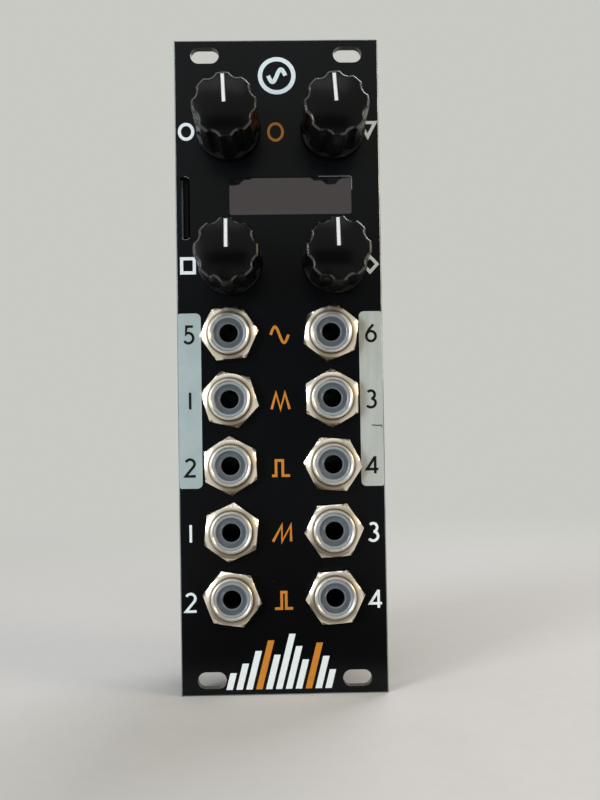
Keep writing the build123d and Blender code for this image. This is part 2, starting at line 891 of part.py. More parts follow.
def display_board():
    outline = Pos(display_board_x, window_z) * Rectangle(display_board_width, display_board_height)
    holes = round_holes(display_pin_places(), pin_hole_diameter)
    return slab(outline - holes, display_board_front, display_board_rear)


def display_ribbon():
    """Flat ribbon from the glass's left edge, folded round to the rear of the display's board."""
    start_y = glass_front + glass_thickness / 2
    end_y = display_board_rear + ribbon_thickness / 2
    radius = (end_y - start_y) / 2
    bend = Pos(glass_left - ribbon_thickness, start_y + radius)
    ring = Circle(radius + ribbon_thickness / 2) - Circle(radius - ribbon_thickness / 2)
    left_half = Pos(-2 * radius, 0) * Rectangle(4 * radius, 4 * radius)
    start = Pos(glass_left - ribbon_thickness / 2, start_y) * Rectangle(ribbon_thickness, ribbon_thickness)
    tail_length = ribbon_tail + ribbon_thickness
    tail_middle = glass_left - ribbon_thickness + tail_length / 2
    tail = Pos(tail_middle, end_y) * Rectangle(tail_length, ribbon_thickness)
    outline = bend * (ring & left_half) + start + tail
    return Pos(0, 0, window_z) * extrude(Plane.XY * outline, amount=ribbon_width / 2, both=True)


# Memory card and its socket
def memory_card():
    """Card seen from its side, with the step in its lower edge and the thicker grip at its rear."""
    half = card_width / 2
    step_y = card_rear_y - card_step_share * card_length
    outline = Polygon(
        (card_front_y, -half),
        (card_front_y, half),
        (card_rear_y, half),
        (card_rear_y, -half + card_step),
        (step_y, -half + card_step),
        (step_y - card_step, -half),
        align=None,
    )
    sheet = extrude(Plane.YZ * outline, amount=card_thickness / 2, both=True)
    grip_middle = card_front_y + card_grip_length / 2
    grip = Pos(0, grip_middle, 0) * Box(card_grip_thickness, card_grip_length, card_width)
    return Pos(card_x, 0, card_z) * (sheet + grip)


def span_block(left, right, front, rear, height, z=0.0):
    """Box given by its sides, about a height."""
    return block(right - left, height, front, rear, (left + right) / 2, z)


def card_socket_base():
    """Moulded floor and three walls round the card."""
    body = span_block(
        card_cavity_left, card_board_left, card_socket_inset, card_socket_rear, card_socket_width
    )
    cavity = span_block(
        card_cavity_left - overrun,
        card_cavity_right,
        card_socket_inset - overrun,
        card_stop,
        card_width + 2 * card_play,
    )
    return Pos(0, 0, card_z) * (body - cavity)


def card_socket_shell():
    outer = card_cavity_left - card_shell_thickness
    shell = span_block(outer, card_cavity_left, card_socket_inset, card_socket_rear, card_socket_width)
    window_length = (card_socket_rear - card_socket_inset) / 4
    window = span_block(
        outer - overrun,
        card_cavity_left + overrun,
        card_socket_rear - 2 * window_length,
        card_socket_rear - window_length,
        card_width / 2,
    )
    return Pos(0, 0, card_z) * (shell - window)


def card_contacts():
    """Flat springs on the socket's floor, under the card's pads."""
    left = card_cavity_right - card_contact_thickness
    contact = span_block(
        left,
        card_cavity_right,
        card_rear_y - card_contact_length,
        card_rear_y,
        card_contact_width,
    )
    places = grid(1, card_contact_count, card_contact_pitch, 0, card_z)
    return [Pos(0, 0, z) * contact for _, z in places]


def card_pin(gap):
    """Angled pin: across from the card's board, then forward through the main board."""
    side = card_pin_side + 2 * gap
    line = [
        (card_board_left, card_pin_y),
        (card_pin_x, card_pin_y),
        (card_pin_x, board_front - card_pin_proud),
    ]
    return extrude(Plane.XY * strip(line, side), amount=side / 2, both=True)


def card_pins():
    return [Pos(0, 0, z) * card_pin(0) for z in card_pin_heights()]


def card_pin_strip():
    height = (card_pin_count + 1) * card_pin_pitch
    rear = board_rear + card_strip_height
    body = span_block(card_board_right, card_strip_right, board_rear, rear, height, window_z)
    return body - card_pins()


def card_board():
    board = span_block(
        card_board_left, card_board_right, card_board_inset, card_board_rear, card_board_height, card_z
    )
    return board - [Pos(0, 0, z) * card_pin(hole_gap) for z in card_pin_heights()]


# Connectors at the rear
def power_places():
    return grid(power_column_count, power_row_count, pin_pitch, 0, power_z)


def power_header():
    """Open box round the power pins, with a key slot in its lower wall."""
    outside = Rectangle(power_length, power_width)
    inside = Rectangle(power_length - 2 * power_wall, power_width - 2 * power_wall)
    floor_rear = rear_board_rear + power_floor
    rear = rear_board_rear + power_depth
    holes = pin_openings(grid(power_column_count, power_row_count, pin_pitch), 0)
    floor = slab(outside - holes, rear_board_rear, floor_rear)
    walls = slab(outside - inside, floor_rear, rear)
    key_z = -(power_width - power_wall) / 2
    key = block(power_key_width, 2 * power_wall, rear - power_key_depth, rear + overrun, 0, key_z)
    return Pos(0, 0, power_z) * (floor + walls - key)


def expansion_places():
    return grid(expansion_column_count, expansion_row_count, pin_pitch, expansion_offset, expansion_z)


def rear_pins():
    """Pins of the power and expansion headers."""
    front = rear_board_front - pin_proud
    power_pin = pin(front, rear_board_rear + power_pin_reach)
    expansion_pin = pin(front, rear_board_rear + expansion_pin_reach)
    return group(
        [Pos(x, 0, z) * power_pin for x, z in power_places()]
        + [Pos(x, 0, z) * expansion_pin for x, z in expansion_places()]
    )


# Chips
def chip(length, width, height, face, x, z):
    """Moulded body lifted off the board's face on its leads."""
    return block(length, width, face + chip_lift, face + height, x, z)


def lead(height, width):
    """Gull-wing lead that leaves a body towards +X and ends flat on the board at zero depth."""
    middle = lead_thickness / 2
    rise = height / 2
    line = [(0, rise), (lead_length / 3, rise), (lead_length / 2, middle), (lead_length, middle)]
    return extrude(Plane.XY * strip(line, lead_thickness), amount=width / 2, both=True)


def leads_around(size, height, width, count, pitch, angles):
    """Rows of leads on the sides of a body about the origin, one row for each angle."""
    row = [Pos(size / 2, 0, z) * lead(height, width) for _, z in grid(1, count, pitch)]
    return [Rot(0, angle, 0) * solid for angle in angles for solid in row]


def processor():
    return chip(processor_size, processor_size, processor_height, rear_board_rear, 0, processor_z)


def amplifier_places():
    return [(x, z) for z in jack_rows_z[:amplifier_rows] for x in (-jack_x, jack_x)]


def amplifier():
    return chip(amplifier_length, amplifier_width, amplifier_height, board_rear, 0, 0)


def converter():
    return chip(converter_length, converter_width, converter_height, rear_board_rear, 0, converter_z)


def memory_chip():
    return chip(memory_length, memory_width, memory_height, rear_board_rear, -memory_offset, expansion_z)


def regulator_places():
    return [(side * regulator_offset, regulator_z) for side in (-1, 1)]


def regulator():
    return block(regulator_length, regulator_width, rear_board_rear, rear_board_rear + regulator_height)


def regulator_tab():
    """Metal tab that sticks out of the regulator's upper side."""
    width = regulator_length - regulator_tab_thickness
    rear = rear_board_rear + regulator_tab_thickness
    middle = (regulator_width + regulator_tab_length) / 2
    return block(width, regulator_tab_length, rear_board_rear, rear, 0, middle)


def chip_leads():
    """Leads of every chip, and the tabs of the regulators."""
    square = leads_around(
        processor_size, processor_height, processor_lead_width, processor_lead_count, processor_lead_pitch,
        (0, 90, 180, 270),
    )
    wide = leads_around(
        converter_width, converter_height, converter_lead_width, converter_lead_count, converter_lead_pitch,
        (90, 270),
    )
    small = leads_around(
        amplifier_width, amplifier_height, amplifier_lead_width, amplifier_lead_count, amplifier_lead_pitch,
        (90, 270),
    )
    placed = [Pos(0, rear_board_rear, processor_z) * solid for solid in square]
    placed += [Pos(0, rear_board_rear, converter_z) * solid for solid in wide]
    placed += [Pos(x, board_rear, z) * solid for x, z in amplifier_places() for solid in small]
    return placed + [Pos(x, 0, z) * regulator_tab() for x, z in regulator_places()]


def can_places():
    per_side = can_count // 2
    heights = [first_can_z + index * can_pitch for index in range(per_side)]
    return [(side * can_x, z) for side in (-1, 1) for z in heights]


def capacitor_can():
    """Aluminium can with the groove that holds its seal."""
    radius = can_diameter / 2
    base = rear_board_rear + can_base_height
    top = base + can_height
    groove = base + can_groove_rise
    bevel = can_groove_depth
    return turned([
        (0, base),
        (radius, base),
        (radius, groove - can_groove_depth),
        (radius - can_groove_depth, groove),
        (radius, groove + can_groove_depth),
        (radius, top - bevel),
        (radius - bevel, top),
        (0, top),
    ])


def capacitor_base():
    return block(can_diameter, can_diameter, rear_board_rear, rear_board_rear + can_base_height)


def crystal():
    rear = rear_board_rear + crystal_height
    return block(crystal_width, crystal_length, rear_board_rear, rear, -crystal_offset, processor_z)


def chip_resistors():
    """Small resistors outside each amplifier, in a short column."""
    offset = amplifier_length / 2 + chip_part_gap + chip_part_length / 2
    body = block(chip_part_length, chip_part_width, board_rear, board_rear + resistor_height)
    places = [
        (x + math.copysign(offset, x), z + step)
        for x, z in amplifier_places()
        for _, step in grid(1, amplifier_part_count, chip_part_pitch)
    ]
    return repeated(body, places)


def chip_capacitors():
    """Small capacitors in a column on each side of the processor."""
    offset = processor_size / 2 + lead_length + decoupler_gap
    body = block(chip_part_width, chip_part_length, rear_board_rear, rear_board_rear + capacitor_height)
    places = [
        (offset, processor_z + step) for _, step in grid(1, decoupler_count, decoupler_pitch)
    ]
    return repeated(body, places)


nodes = {
    "front_panel": front_panel(),
    "jack_nuts": jack_nuts(),
    "jack_bushings": repeated(jack_bushing(), jack_places),
    "jack_inserts": repeated(jack_insert(), jack_places),
    "jack_housings": repeated(jack_housing(), jack_places),
    "jack_sleeve_springs": repeated(sleeve_spring(), jack_places),
    "jack_tip_springs": repeated(tip_spring(), jack_places),
    "jack_switch_contacts": repeated(switch_contact(), jack_places),
    "control_bushes": repeated(control_bush(), control_places.values()),
    "control_frames": repeated(control_frame(), control_places.values()),
    "control_bases": repeated(control_base(), control_places.values()),
    "control_pins": repeated(control_pin_set(), control_places.values()),
    "pot_tracks": repeated(pot_track(), pot_places),
    "switch_domes": repeated(switch_dome(), control_places.values()),
    "main_board": main_board(),
    "rear_board": rear_board(),
    "board_sockets": board_sockets(),
    "board_pins": board_pins(),
    "header_strips": header_strips(),
    "standoffs": standoffs(),
    "standoff_screws": standoff_screws(),
    "display_foam": group([display_gasket(), display_pad()]),
    "display_glass": display_glass(),
    "display_board": display_board(),
    "display_ribbon": display_ribbon(),
    "memory_card": memory_card(),
    "card_socket_base": card_socket_base(),
    "card_socket_shell": card_socket_shell(),
    "card_board": card_board(),
    "card_pins": group(card_contacts() + card_pins()),
    "card_pin_strip": card_pin_strip(),
    "power_header": power_header(),
    "rear_pins": rear_pins(),
    "processor": processor(),
    "amplifiers": repeated(amplifier(), amplifier_places()),
    "converter": converter(),
    "memory_chip": memory_chip(),
    "chip_leads": group(chip_leads()),
    "regulators": repeated(regulator(), regulator_places()),
    "capacitor_cans": repeated(capacitor_can(), can_places()),
    "capacitor_bases": repeated(capacitor_base(), can_places()),
    "crystal": crystal(),
    "chip_resistors": chip_resistors(),
    "chip_capacitors": chip_capacitors(),
}
for name in control_places:
    scallops = rotor_scallops if name.startswith("upper") else 0
    nodes["knob_" + name] = turned_to(name, knob())
    nodes["pointer_" + name] = turned_to(name, pointer())
    nodes["shaft_" + name] = turned_to(name, shaft())
    nodes["rotor_" + name] = turned_to(name, rotor(scallops))

os.makedirs("parts", exist_ok=True)
for node, shape in nodes.items():
    export_step(shape, "parts/" + node + ".step")
print(len(nodes), "nodes")
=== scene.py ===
# %% [markdown]
# # A rack synthesiser module, dressed for the camera
# The module is a black aluminium plate with four fluted knobs, a small display, a card slot and
# ten jacks in two columns, in front of two circuit boards. Its solids come ready made from the
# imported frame, at their real size and place. What is left for Blender is how each surface looks,
# and the small things that are too thin to be worth a solid: the printed marks, the solder and
# the lines on the boards. The first step loads the frame and keeps its box, because nothing that
# is added later may make the module bigger.

# %% Load the frame
import json
import math

import bmesh
import bpy
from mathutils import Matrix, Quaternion, Vector


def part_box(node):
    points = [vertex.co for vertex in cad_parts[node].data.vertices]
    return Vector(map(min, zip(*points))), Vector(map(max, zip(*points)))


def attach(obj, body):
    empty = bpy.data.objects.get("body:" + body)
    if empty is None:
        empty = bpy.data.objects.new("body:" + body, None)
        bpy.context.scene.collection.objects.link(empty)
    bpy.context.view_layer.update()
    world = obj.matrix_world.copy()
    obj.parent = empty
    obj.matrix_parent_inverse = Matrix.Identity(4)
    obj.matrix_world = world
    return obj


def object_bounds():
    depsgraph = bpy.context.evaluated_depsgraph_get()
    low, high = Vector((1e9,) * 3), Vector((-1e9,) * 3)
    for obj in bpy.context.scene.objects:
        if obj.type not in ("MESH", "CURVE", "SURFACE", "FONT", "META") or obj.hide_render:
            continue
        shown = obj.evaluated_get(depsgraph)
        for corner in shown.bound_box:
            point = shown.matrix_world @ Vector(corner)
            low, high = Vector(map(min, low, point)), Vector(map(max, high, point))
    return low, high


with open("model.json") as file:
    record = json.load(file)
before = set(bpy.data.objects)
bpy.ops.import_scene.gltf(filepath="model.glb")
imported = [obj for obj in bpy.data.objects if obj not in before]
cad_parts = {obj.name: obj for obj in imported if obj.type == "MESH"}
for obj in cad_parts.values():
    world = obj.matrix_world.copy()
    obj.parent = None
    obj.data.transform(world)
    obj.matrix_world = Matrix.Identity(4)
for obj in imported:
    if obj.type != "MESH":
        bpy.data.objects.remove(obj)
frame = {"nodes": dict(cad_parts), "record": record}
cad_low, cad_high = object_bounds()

scene = bpy.context.scene
nodes = frame["nodes"]
MM = 0.001
print(len(nodes), "nodes, box in mm", [round(side / MM, 2) for side in cad_high - cad_low])

# %% [markdown]
# ## The camera
# The photograph was taken by hand from straight in front, a little below the panel's middle.
# The place and the three small angles below were found by matching the panel's corners, its
# slots and the ten jacks. A camera could also be aimed with a Track To constraint, but plain
# numbers keep the slight roll of a hand-held picture. Blender measures the sensor along the
# picture's longer side, here the height.

# %% Camera
camera_place = Vector((0.34, -185.99, -11.99)) * MM
camera_turn = math.radians(1.053)      # to the right
camera_tilt = math.radians(1.536)      # upwards
camera_roll = math.radians(-0.885)
focal_length = 42.3
sensor_side = 36.0

camera_data = bpy.data.cameras.new("camera")
camera_data.lens = focal_length
camera_data.sensor_width = sensor_side
camera_data.clip_start = 10 * MM
camera_data.clip_end = 20.0
camera = bpy.data.objects.new("camera", camera_data)
scene.collection.objects.link(camera)
flat = math.cos(camera_tilt)
look = Vector((math.sin(camera_turn) * flat, math.cos(camera_turn) * flat, math.sin(camera_tilt)))
camera.location = camera_place
camera.rotation_mode = "QUATERNION"
camera.rotation_quaternion = look.to_track_quat("-Z", "Y") @ Quaternion((0, 0, 1), camera_roll)
scene.camera = camera
scene.view_settings.view_transform = "Standard"
print("camera", round(-camera.location.y / MM), "mm in front of the panel's rear face")

# %% [markdown]
# ## Colours and nodes
# Colours are written as the hex values that a picture editor shows. The renderer works with
# linear light, so one function turns them over. A second small function adds a shader node and
# wires its sockets, so that each material below reads as a short recipe. A third starts a
# material with its main shader, whose plain numbers are set on the shader itself. Most real
# surfaces are a little cloudy, so a fourth mixes two near tones by noise. One even colour would
# be shorter, but it looks like plastic whatever the shader says.


# %% Colour and node helpers
def linear(hex_value):
    """Linear colour with full opacity from an sRGB hex value such as "#20242A"."""
    parts = [int(hex_value[start:start + 2], 16) / 255 for start in (1, 3, 5)]
    light = [part / 12.92 if part <= 0.04045 else ((part + 0.055) / 1.055) ** 2.4 for part in parts]
    return (*light, 1.0)


def wire(tree, node, inputs):
    """Sets sockets by name. A node stands for its first output, and a string for a hex colour."""
    for name, value in inputs.items():
        if isinstance(value, bpy.types.Node):
            value = value.outputs[0]
        if isinstance(value, bpy.types.NodeSocket):
            tree.links.new(value, node.inputs[name])
        else:
            node.inputs[name].default_value = linear(value) if isinstance(value, str) else value
    return node


def add(tree, kind, inputs, **settings):
    """Adds a node with its settings and its wired sockets."""
    node = tree.nodes.new("ShaderNode" + kind)
    for name, value in settings.items():
        setattr(node, name, value)
    return wire(tree, node, inputs)


def start_material(name, **plain):
    """A material, its tree, its main shader with plain numbers, and its place on the object."""
    material = bpy.data.materials.new(name)
    material.use_nodes = True
    tree = material.node_tree
    skin = tree.nodes["Principled BSDF"]
    wire(tree, skin, {key.replace("_", " "): value for key, value in plain.items()})
    place = add(tree, "TexCoord", {}).outputs["Object"]
    return material, tree, skin, place


def per_mm(size):
    """Texture scale that makes one cell of a pattern that many millimetres wide."""
    return 1 / (size * MM)


def cloudy(tree, place, size, dark, pale, **noise):
    """Noise with patches of a size in mm, and the colour that it mixes from two tones."""
    pattern = add(tree, "TexNoise", {"Vector": place, "Scale": per_mm(size), **noise})
    return pattern, add(tree, "MixRGB", {"Fac": pattern, "Color1": dark, "Color2": pale})


print("a middle grey becomes", [round(part, 3) for part in linear("#808080")[:3]])

# %% [markdown]
# ## The studio
# A plain pale floor and a pale surround. Mirrors and glass see the surround as the camera does,
# but it lights the module at a lower strength, so that the shadows keep some depth. The floor is
# matt paper that takes the module's shadow, and further out it melts into the surround, as on a
# studio's sweep. A bent sheet behind the module would do that for one view only. Melting by
# distance works from every side.

# %% Floor and surround
pale_ground = "#D0D1CB"
floor_half = 4.0
ambient_strength = 0.40
surround_strength = 0.92
melt_start, melt_end = 0.07, 0.40
paper_grain = 3

world = bpy.data.worlds.new("surround")
scene.world = world
world.use_nodes = True


def seen_directly(tree):
    """One where the camera, a mirror or glass looks, and nought where only light gathers."""
    ray = add(tree, "LightPath", {}).outputs
    seen = add(tree, "Math", {0: ray["Is Camera Ray"], 1: ray["Is Glossy Ray"]}, operation="ADD")
    return add(tree, "Math", {0: seen, 1: ray["Is Transmission Ray"]}, operation="ADD", use_clamp=True)


def sheet(name, corners, material):
    """A flat sheet with four corners."""
    mesh = bpy.data.meshes.new(name)
    mesh.from_pydata(corners, [], [(0, 1, 2, 3)])
    mesh.materials.append(material)
    made = bpy.data.objects.new(name, mesh)
    scene.collection.objects.link(made)
    return made


tree = world.node_tree
strength = add(tree, "Mix", {"Factor": seen_directly(tree), "A": ambient_strength, "B": surround_strength})
wire(tree, tree.nodes["Background"], {"Color": pale_ground, "Strength": strength})

# Matt paper: an even pale grey without any shine, faintly mottled by its fibres.
paper, tree, skin, place = start_material("seamless matt paper", Roughness=0.85)
tone = cloudy(tree, place, paper_grain, "#E6E4DF", "#ECEAE6", Detail=4)[1]
wire(tree, skin, {"Base Color": tone})
distance = add(tree, "VectorMath", {0: place, 1: (0, 0, cad_low.z)}, operation="DISTANCE").outputs["Value"]
melt = add(
    tree, "MapRange", {"Value": distance, "From Min": melt_start, "From Max": melt_end},
    interpolation_type="SMOOTHSTEP",
)
melt = add(tree, "Math", {0: melt, 1: seen_directly(tree)}, operation="MULTIPLY")
glow = add(tree, "Emission", {"Color": pale_ground, "Strength": surround_strength})
sweep = add(tree, "MixShader", {0: melt, 1: skin, 2: glow})
wire(tree, tree.nodes["Material Output"], {"Surface": sweep})
corners = [(-1, -1), (1, -1), (1, 1), (-1, 1)]
floor = sheet("floor", [(x * floor_half, y * floor_half, cad_low.z) for x, y in corners], paper)
print("floor at", round(cad_low.z / MM, 2), "mm")

# %% [markdown]
# ## Lamps
# The photograph has cool daylight from the left and a weak warm glow from the right. Large area
# lamps give the same soft shadow edges as a window. A sun lamp would give hard ones. Each
# lamp is written as a place, a size and the share of full light that it adds on a surface that
# faces it. The shares that reach the front, with the surround, come to about one, so that a
# colour renders about as it is written.

# %% Lamps
aim = Vector((0, 0, (cad_low.z + cad_high.z) / 2))
lamps = {
    "window": {"place": (-0.48, -0.50, 0.10), "size": (0.24, 0.30), "share": 0.66, "colour": "#F4F9FF"},
    "sky": {"place": (-0.1, -0.5, 0.55), "size": (0.7, 0.3), "share": 0.22, "colour": "#F2F5FF"},
    "warm card": {"place": (0.58, -0.24, 0.16), "size": (0.24, 0.24), "share": 0.30, "colour": "#FFE2BA"},
    "back": {"place": (0.3, 0.55, 0.45), "size": (0.5, 0.4), "share": 0.4, "colour": "#F6F7FF"},
}
for name, lamp in lamps.items():
    spot = Vector(lamp["place"])
    data = bpy.data.lights.new(name, "AREA")
    data.shape = "RECTANGLE"
    data.size, data.size_y = lamp["size"]
    data.color = linear(lamp["colour"])[:3]
    data.energy = lamp["share"] * math.pi ** 2 * (spot - aim).length_squared
    lit = bpy.data.objects.new(name, data)
    lit.location = spot
    lit.rotation_euler = (aim - spot).to_track_quat("-Z", "Y").to_euler()
    lit.visible_camera = False
    scene.collection.objects.link(lit)
    print(name, "lamp,", round(data.energy, 2), "W")

# %% [markdown]
# ## Cards
# Polished metal only looks like metal when it has something dark to reflect. In the photograph
# that is the dark end of the room. A studio uses dark cards, or flags, for the same purpose. A
# small pale card low in front gives the glints at the feet of the knobs. The cards belong to the
# stage. Only reflections can see them, so they neither take light off the module nor show. Each
# is written as two edges, an edge being its left and right end, its y and its z in metres.

# %% Cards
pile_size = 4


def cloth(name, dark, pale):
    """Woven or felted cloth without any shine, faintly uneven in its pile."""
    material, tree, skin, place = start_material(name, Roughness=1.0, Specular_IOR_Level=0.0)
    tone = cloudy(tree, place, pile_size, dark, pale, Detail=2)[1]
    wire(tree, skin, {"Base Color": tone})
    return material


# Velvet swallows most of the light, and felt gives it back evenly.
black_velvet = cloth("black velvet", "#141518", "#1A1B1E")
brown_velvet = cloth("brown velvet", "#5A4F40", "#6A5E4C")
white_felt = cloth("white felt", "#DDE2E6", "#ECF0F2")
cards = {
    "card_front": (black_velvet, (-0.30, 0.30, -0.80, -0.06), (-0.30, 0.30, -0.80, 0.145)),
    "card_above": (brown_velvet, (-0.25, 0.25, -0.12, 0.36), (-0.25, 0.25, -0.34, 0.42)),
    "card_below": (brown_velvet, (-0.03, 0.03, -0.018, -0.0635), (-0.06, 0.06, -0.42, -0.0635)),
    "card_glint": (white_felt, (0.0, 0.09, -0.26, -0.062), (0.0, 0.09, -0.42, -0.062)),
}
for name, (material, near, far) in cards.items():
    ends = ((near, 0), (near, 1), (far, 1), (far, 0))
    card = sheet(name, [(edge[end], edge[2], edge[3]) for edge, end in ends], material)
    for ray in ("camera", "diffuse", "shadow", "transmission", "volume_scatter"):
        setattr(card, "visible_" + ray, False)
print(len(cards), "cards")

# %% [markdown]
# ## The panel
# The panel is aluminium sheet, etched, anodised and dyed black. That gives the eye a deep,
# slightly blue black with a satin sheen and no grain that can be seen by itself. The dye layer
# is thin. At the broken edge a band of pale bare metal is painted as the edge's highlight, and
# there the normal leans outwards. The grain of the etch is finer than a pixel, about 0.05 mm, so
# it is drawn at 0.25 mm. A few specks of dust lie on it, as in the photograph. The layer is clear
# oxide over dye, so the shader is a dielectric with a low specular level, and not a metal. A
# picture of etched metal could be wrapped round the panel instead, but noise in the object's own
# coordinates needs no unwrapping and has no seams.


# %% Black anodised aluminium
def dress(material, *names):
    """Gives whole nodes of the frame one material."""
    for name in names:
        nodes[name].data.materials.clear()
        nodes[name].data.materials.append(material)


def leaned(tree, normal, way, amount):
    """A normal that leans some way by an amount, brought back to length one."""
    push = add(tree, "VectorMath", {0: way, "Scale": amount}, operation="SCALE")
    bent = add(tree, "VectorMath", {0: normal, 1: push}, operation="ADD")
    return add(tree, "VectorMath", {0: bent}, operation="NORMALIZE")


panel_low, panel_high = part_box("front_panel")
panel_face_y = panel_low.y
etch_size = 0.25
etch_depth = 0.01 * MM
smear_size = 14
speck_spacing = 7
speck_reach = 0.012         # of the spacing
edge_width = 0.2 * MM
edge_depth = 0.3 * MM       # how far the bare metal reaches round the edge
edge_lean = 0.55

# Anodised aluminium: a deep satin black that stays dark face on and lifts at a low angle.
anodised, tree, skin, place = start_material("black anodised aluminium", Specular_IOR_Level=0.19)
etch = add(tree, "TexNoise", {"Vector": place, "Scale": per_mm(etch_size), "Detail": 3})
smear, dye = cloudy(tree, place, smear_size, "#020305", "#05070A", Detail=5, Roughness=0.6)
specks = add(tree, "TexVoronoi", {"Vector": place, "Scale": per_mm(speck_spacing)})
speck = add(tree, "Math", {0: specks, 1: speck_reach}, operation="LESS_THAN")
dusty = add(tree, "MixRGB", {"Fac": speck, "Color1": dye, "Color2": "#5C5E60"})
spot = add(tree, "SeparateXYZ", {"Vector": place}).outputs
near = {}
outwards = {}
for axis, half in (("X", panel_high.x), ("Z", panel_high.z)):
    reach = add(tree, "Math", {0: spot[axis]}, operation="ABSOLUTE")
    near[axis] = add(tree, "Math", {0: reach, 1: half - edge_width}, operation="GREATER_THAN")
    side = add(tree, "Math", {0: spot[axis]}, operation="SIGN")
    outwards[axis] = add(tree, "Math", {0: side, 1: near[axis]}, operation="MULTIPLY")
edge = add(tree, "Math", {0: near["X"], 1: near["Z"]}, operation="MAXIMUM")
painted_highlight_breaks = add(tree, "MapRange", {"Value": smear, "From Min": 0.4, "From Max": 0.62, "To Min": 0.45})
front = add(tree, "Math", {0: spot["Y"], 1: panel_face_y + edge_depth}, operation="LESS_THAN")
edge = add(tree, "Math", {0: edge, 1: front}, operation="MULTIPLY")
bare = add(tree, "Math", {0: edge, 1: painted_highlight_breaks}, operation="MULTIPLY")
# A band of pale bare metal along the outer edge, broken up by noise: painted highlight of the edge.
colour = add(tree, "MixRGB", {"Fac": bare, "Color1": dusty, "Color2": "#B9C2CB"})
sheen = add(tree, "MapRange", {"Value": smear, "To Min": 0.21, "To Max": 0.31})
relief = add(tree, "Bump", {"Height": etch, "Strength": 0.15, "Distance": etch_depth})
push = add(tree, "Math", {0: front, 1: edge_lean}, operation="MULTIPLY")
relief = leaned(tree, relief, add(tree, "CombineXYZ", outwards), push)
wire(tree, skin, {"Base Color": colour, "Metallic": bare, "Roughness": sheen, "Normal": relief})
dress(anodised, "front_panel")
print("panel face at", round(panel_face_y / MM, 2), "mm")

# %% [markdown]
# ## Nuts and bushings
# Each jack is held by a hexagon nut on a threaded bushing. Both are brass, turned and plated
# with bright nickel, which is a warm, slightly yellow silver. The turning leaves fine rings
# round each jack's own axis. The ten jacks stand in a grid, so folding the coordinates over the
# grid puts every point in its own jack's frame, and one material with rings serves all ten.
# Real tool marks are about 0.05 mm apart, and are drawn 0.25 mm apart to show at all. The faces
# of such nuts are slightly crowned and the bushing's rim is rounded, which the flat solids don't
# have, so bands of the surface get a normal that leans outwards. A bevel on the solids would do
# that too, but the crown of a nut is only 0.05 mm high. The seat between nut and bushing is
# darkened as painted shade of the gap, and the nut's chamfers get dark blotches as painted dark reflections.


# %% The jacks' own frames
def folded(tree, place, column, row, pitch):
    """Distance from the nearest axis of a grid, the vector from that axis, and the depth y.

    The grid has two columns at plus and minus column, and rows from row downwards.
    """
    spot = add(tree, "SeparateXYZ", {"Vector": place}).outputs
    reach = add(tree, "Math", {0: spot["X"]}, operation="ABSOLUTE")
    across = add(tree, "Math", {0: reach, 1: column}, operation="SUBTRACT")
    side = add(tree, "Math", {0: spot["X"]}, operation="SIGN")
    across = add(tree, "Math", {0: across, 1: side}, operation="MULTIPLY")
    top = row + pitch / 2
    up = add(tree, "Math", {0: spot["Z"], 1: top, 2: top - pitch}, operation="WRAP")
    up = add(tree, "Math", {0: up, 1: row}, operation="SUBTRACT")
    ray = add(tree, "CombineXYZ", {"X": across, "Z": up})
    radius = add(tree, "VectorMath", {0: ray}, operation="LENGTH").outputs["Value"]
    return radius, ray, spot["Y"]


jacks = [Vector(mount["pos_m"]) for mount in frame["record"]["mounts"] if mount["name"].startswith("jack_")]
jack_column = max(jack.x for jack in jacks)
jack_rows = sorted({round(jack.z / MM, 3) for jack in jacks}, reverse=True)
jack_pitch = (jack_rows[0] - jack_rows[1]) * MM
jack_grid = (jack_column, jack_rows[0] * MM, jack_pitch)
print(len(jacks), "jacks, pitch", round(jack_pitch / MM, 3), "mm")

# %% [markdown]
# Three helpers serve the nuts and the plastic inserts alike. One says how squarely the surface
# faces along an axis, one makes the crowned and rounded fronts, and one the rings that a tool
# leaves. The rings could be cut into the solids, but only their shine can be seen.

# %% Fronts and tool marks
ring_depth = 0.004 * MM


def facing(tree, axis):
    """How squarely the surface faces along an axis of the object, from -1 to 1."""
    return add(tree, "SeparateXYZ", {"Vector": add(tree, "TexCoord", {}).outputs["Normal"]}).outputs[axis]


def domed(tree, radius, ray, bands):
    """A normal that leans outwards across bands of a flat front.

    A band has its middle radius and half width in mm, and the lean at its inner and outer side.
    """
    flat = add(tree, "MapRange", {"Value": facing(tree, "Y"), "From Min": -0.9, "From Max": -0.99})
    total = 0.0
    for middle, half, inner, outer in bands:
        across = add(tree, "MapRange", {
            "Value": radius, "From Min": (middle - half) * MM, "From Max": (middle + half) * MM,
            "To Min": inner, "To Max": outer,
        })
        inside = add(tree, "Math", {0: radius, 1: middle * MM, 2: half * MM}, operation="COMPARE")
        total = add(tree, "Math", {0: across, 1: inside, 2: total}, operation="MULTIPLY_ADD")
    lean = add(tree, "Math", {0: total, 1: flat}, operation="MULTIPLY")
    away = add(tree, "VectorMath", {0: ray}, operation="NORMALIZE")
    return leaned(tree, add(tree, "NewGeometry", {}).outputs["Normal"], away, lean)


def tool_marks(tree, radius, spacing, strength, normal):
    """Fine rings as a bump over a normal, their spacing in mm."""
    turns = add(tree, "Math", {0: radius, 1: 2 * math.pi / (spacing * MM)}, operation="MULTIPLY")
    rings = add(tree, "Math", {0: turns}, operation="SINE")
    return add(tree, "Bump", {
        "Height": rings, "Strength": strength, "Distance": ring_depth, "Normal": normal,
    })


print("rings", ring_depth / MM, "mm deep")

# %% [markdown]
# The rings smear a highlight across themselves. Real grooves would do so too, but they are far
# finer than a pixel. The shader's anisotropy gives the same streak when its tangent points away
# from the jack's axis.

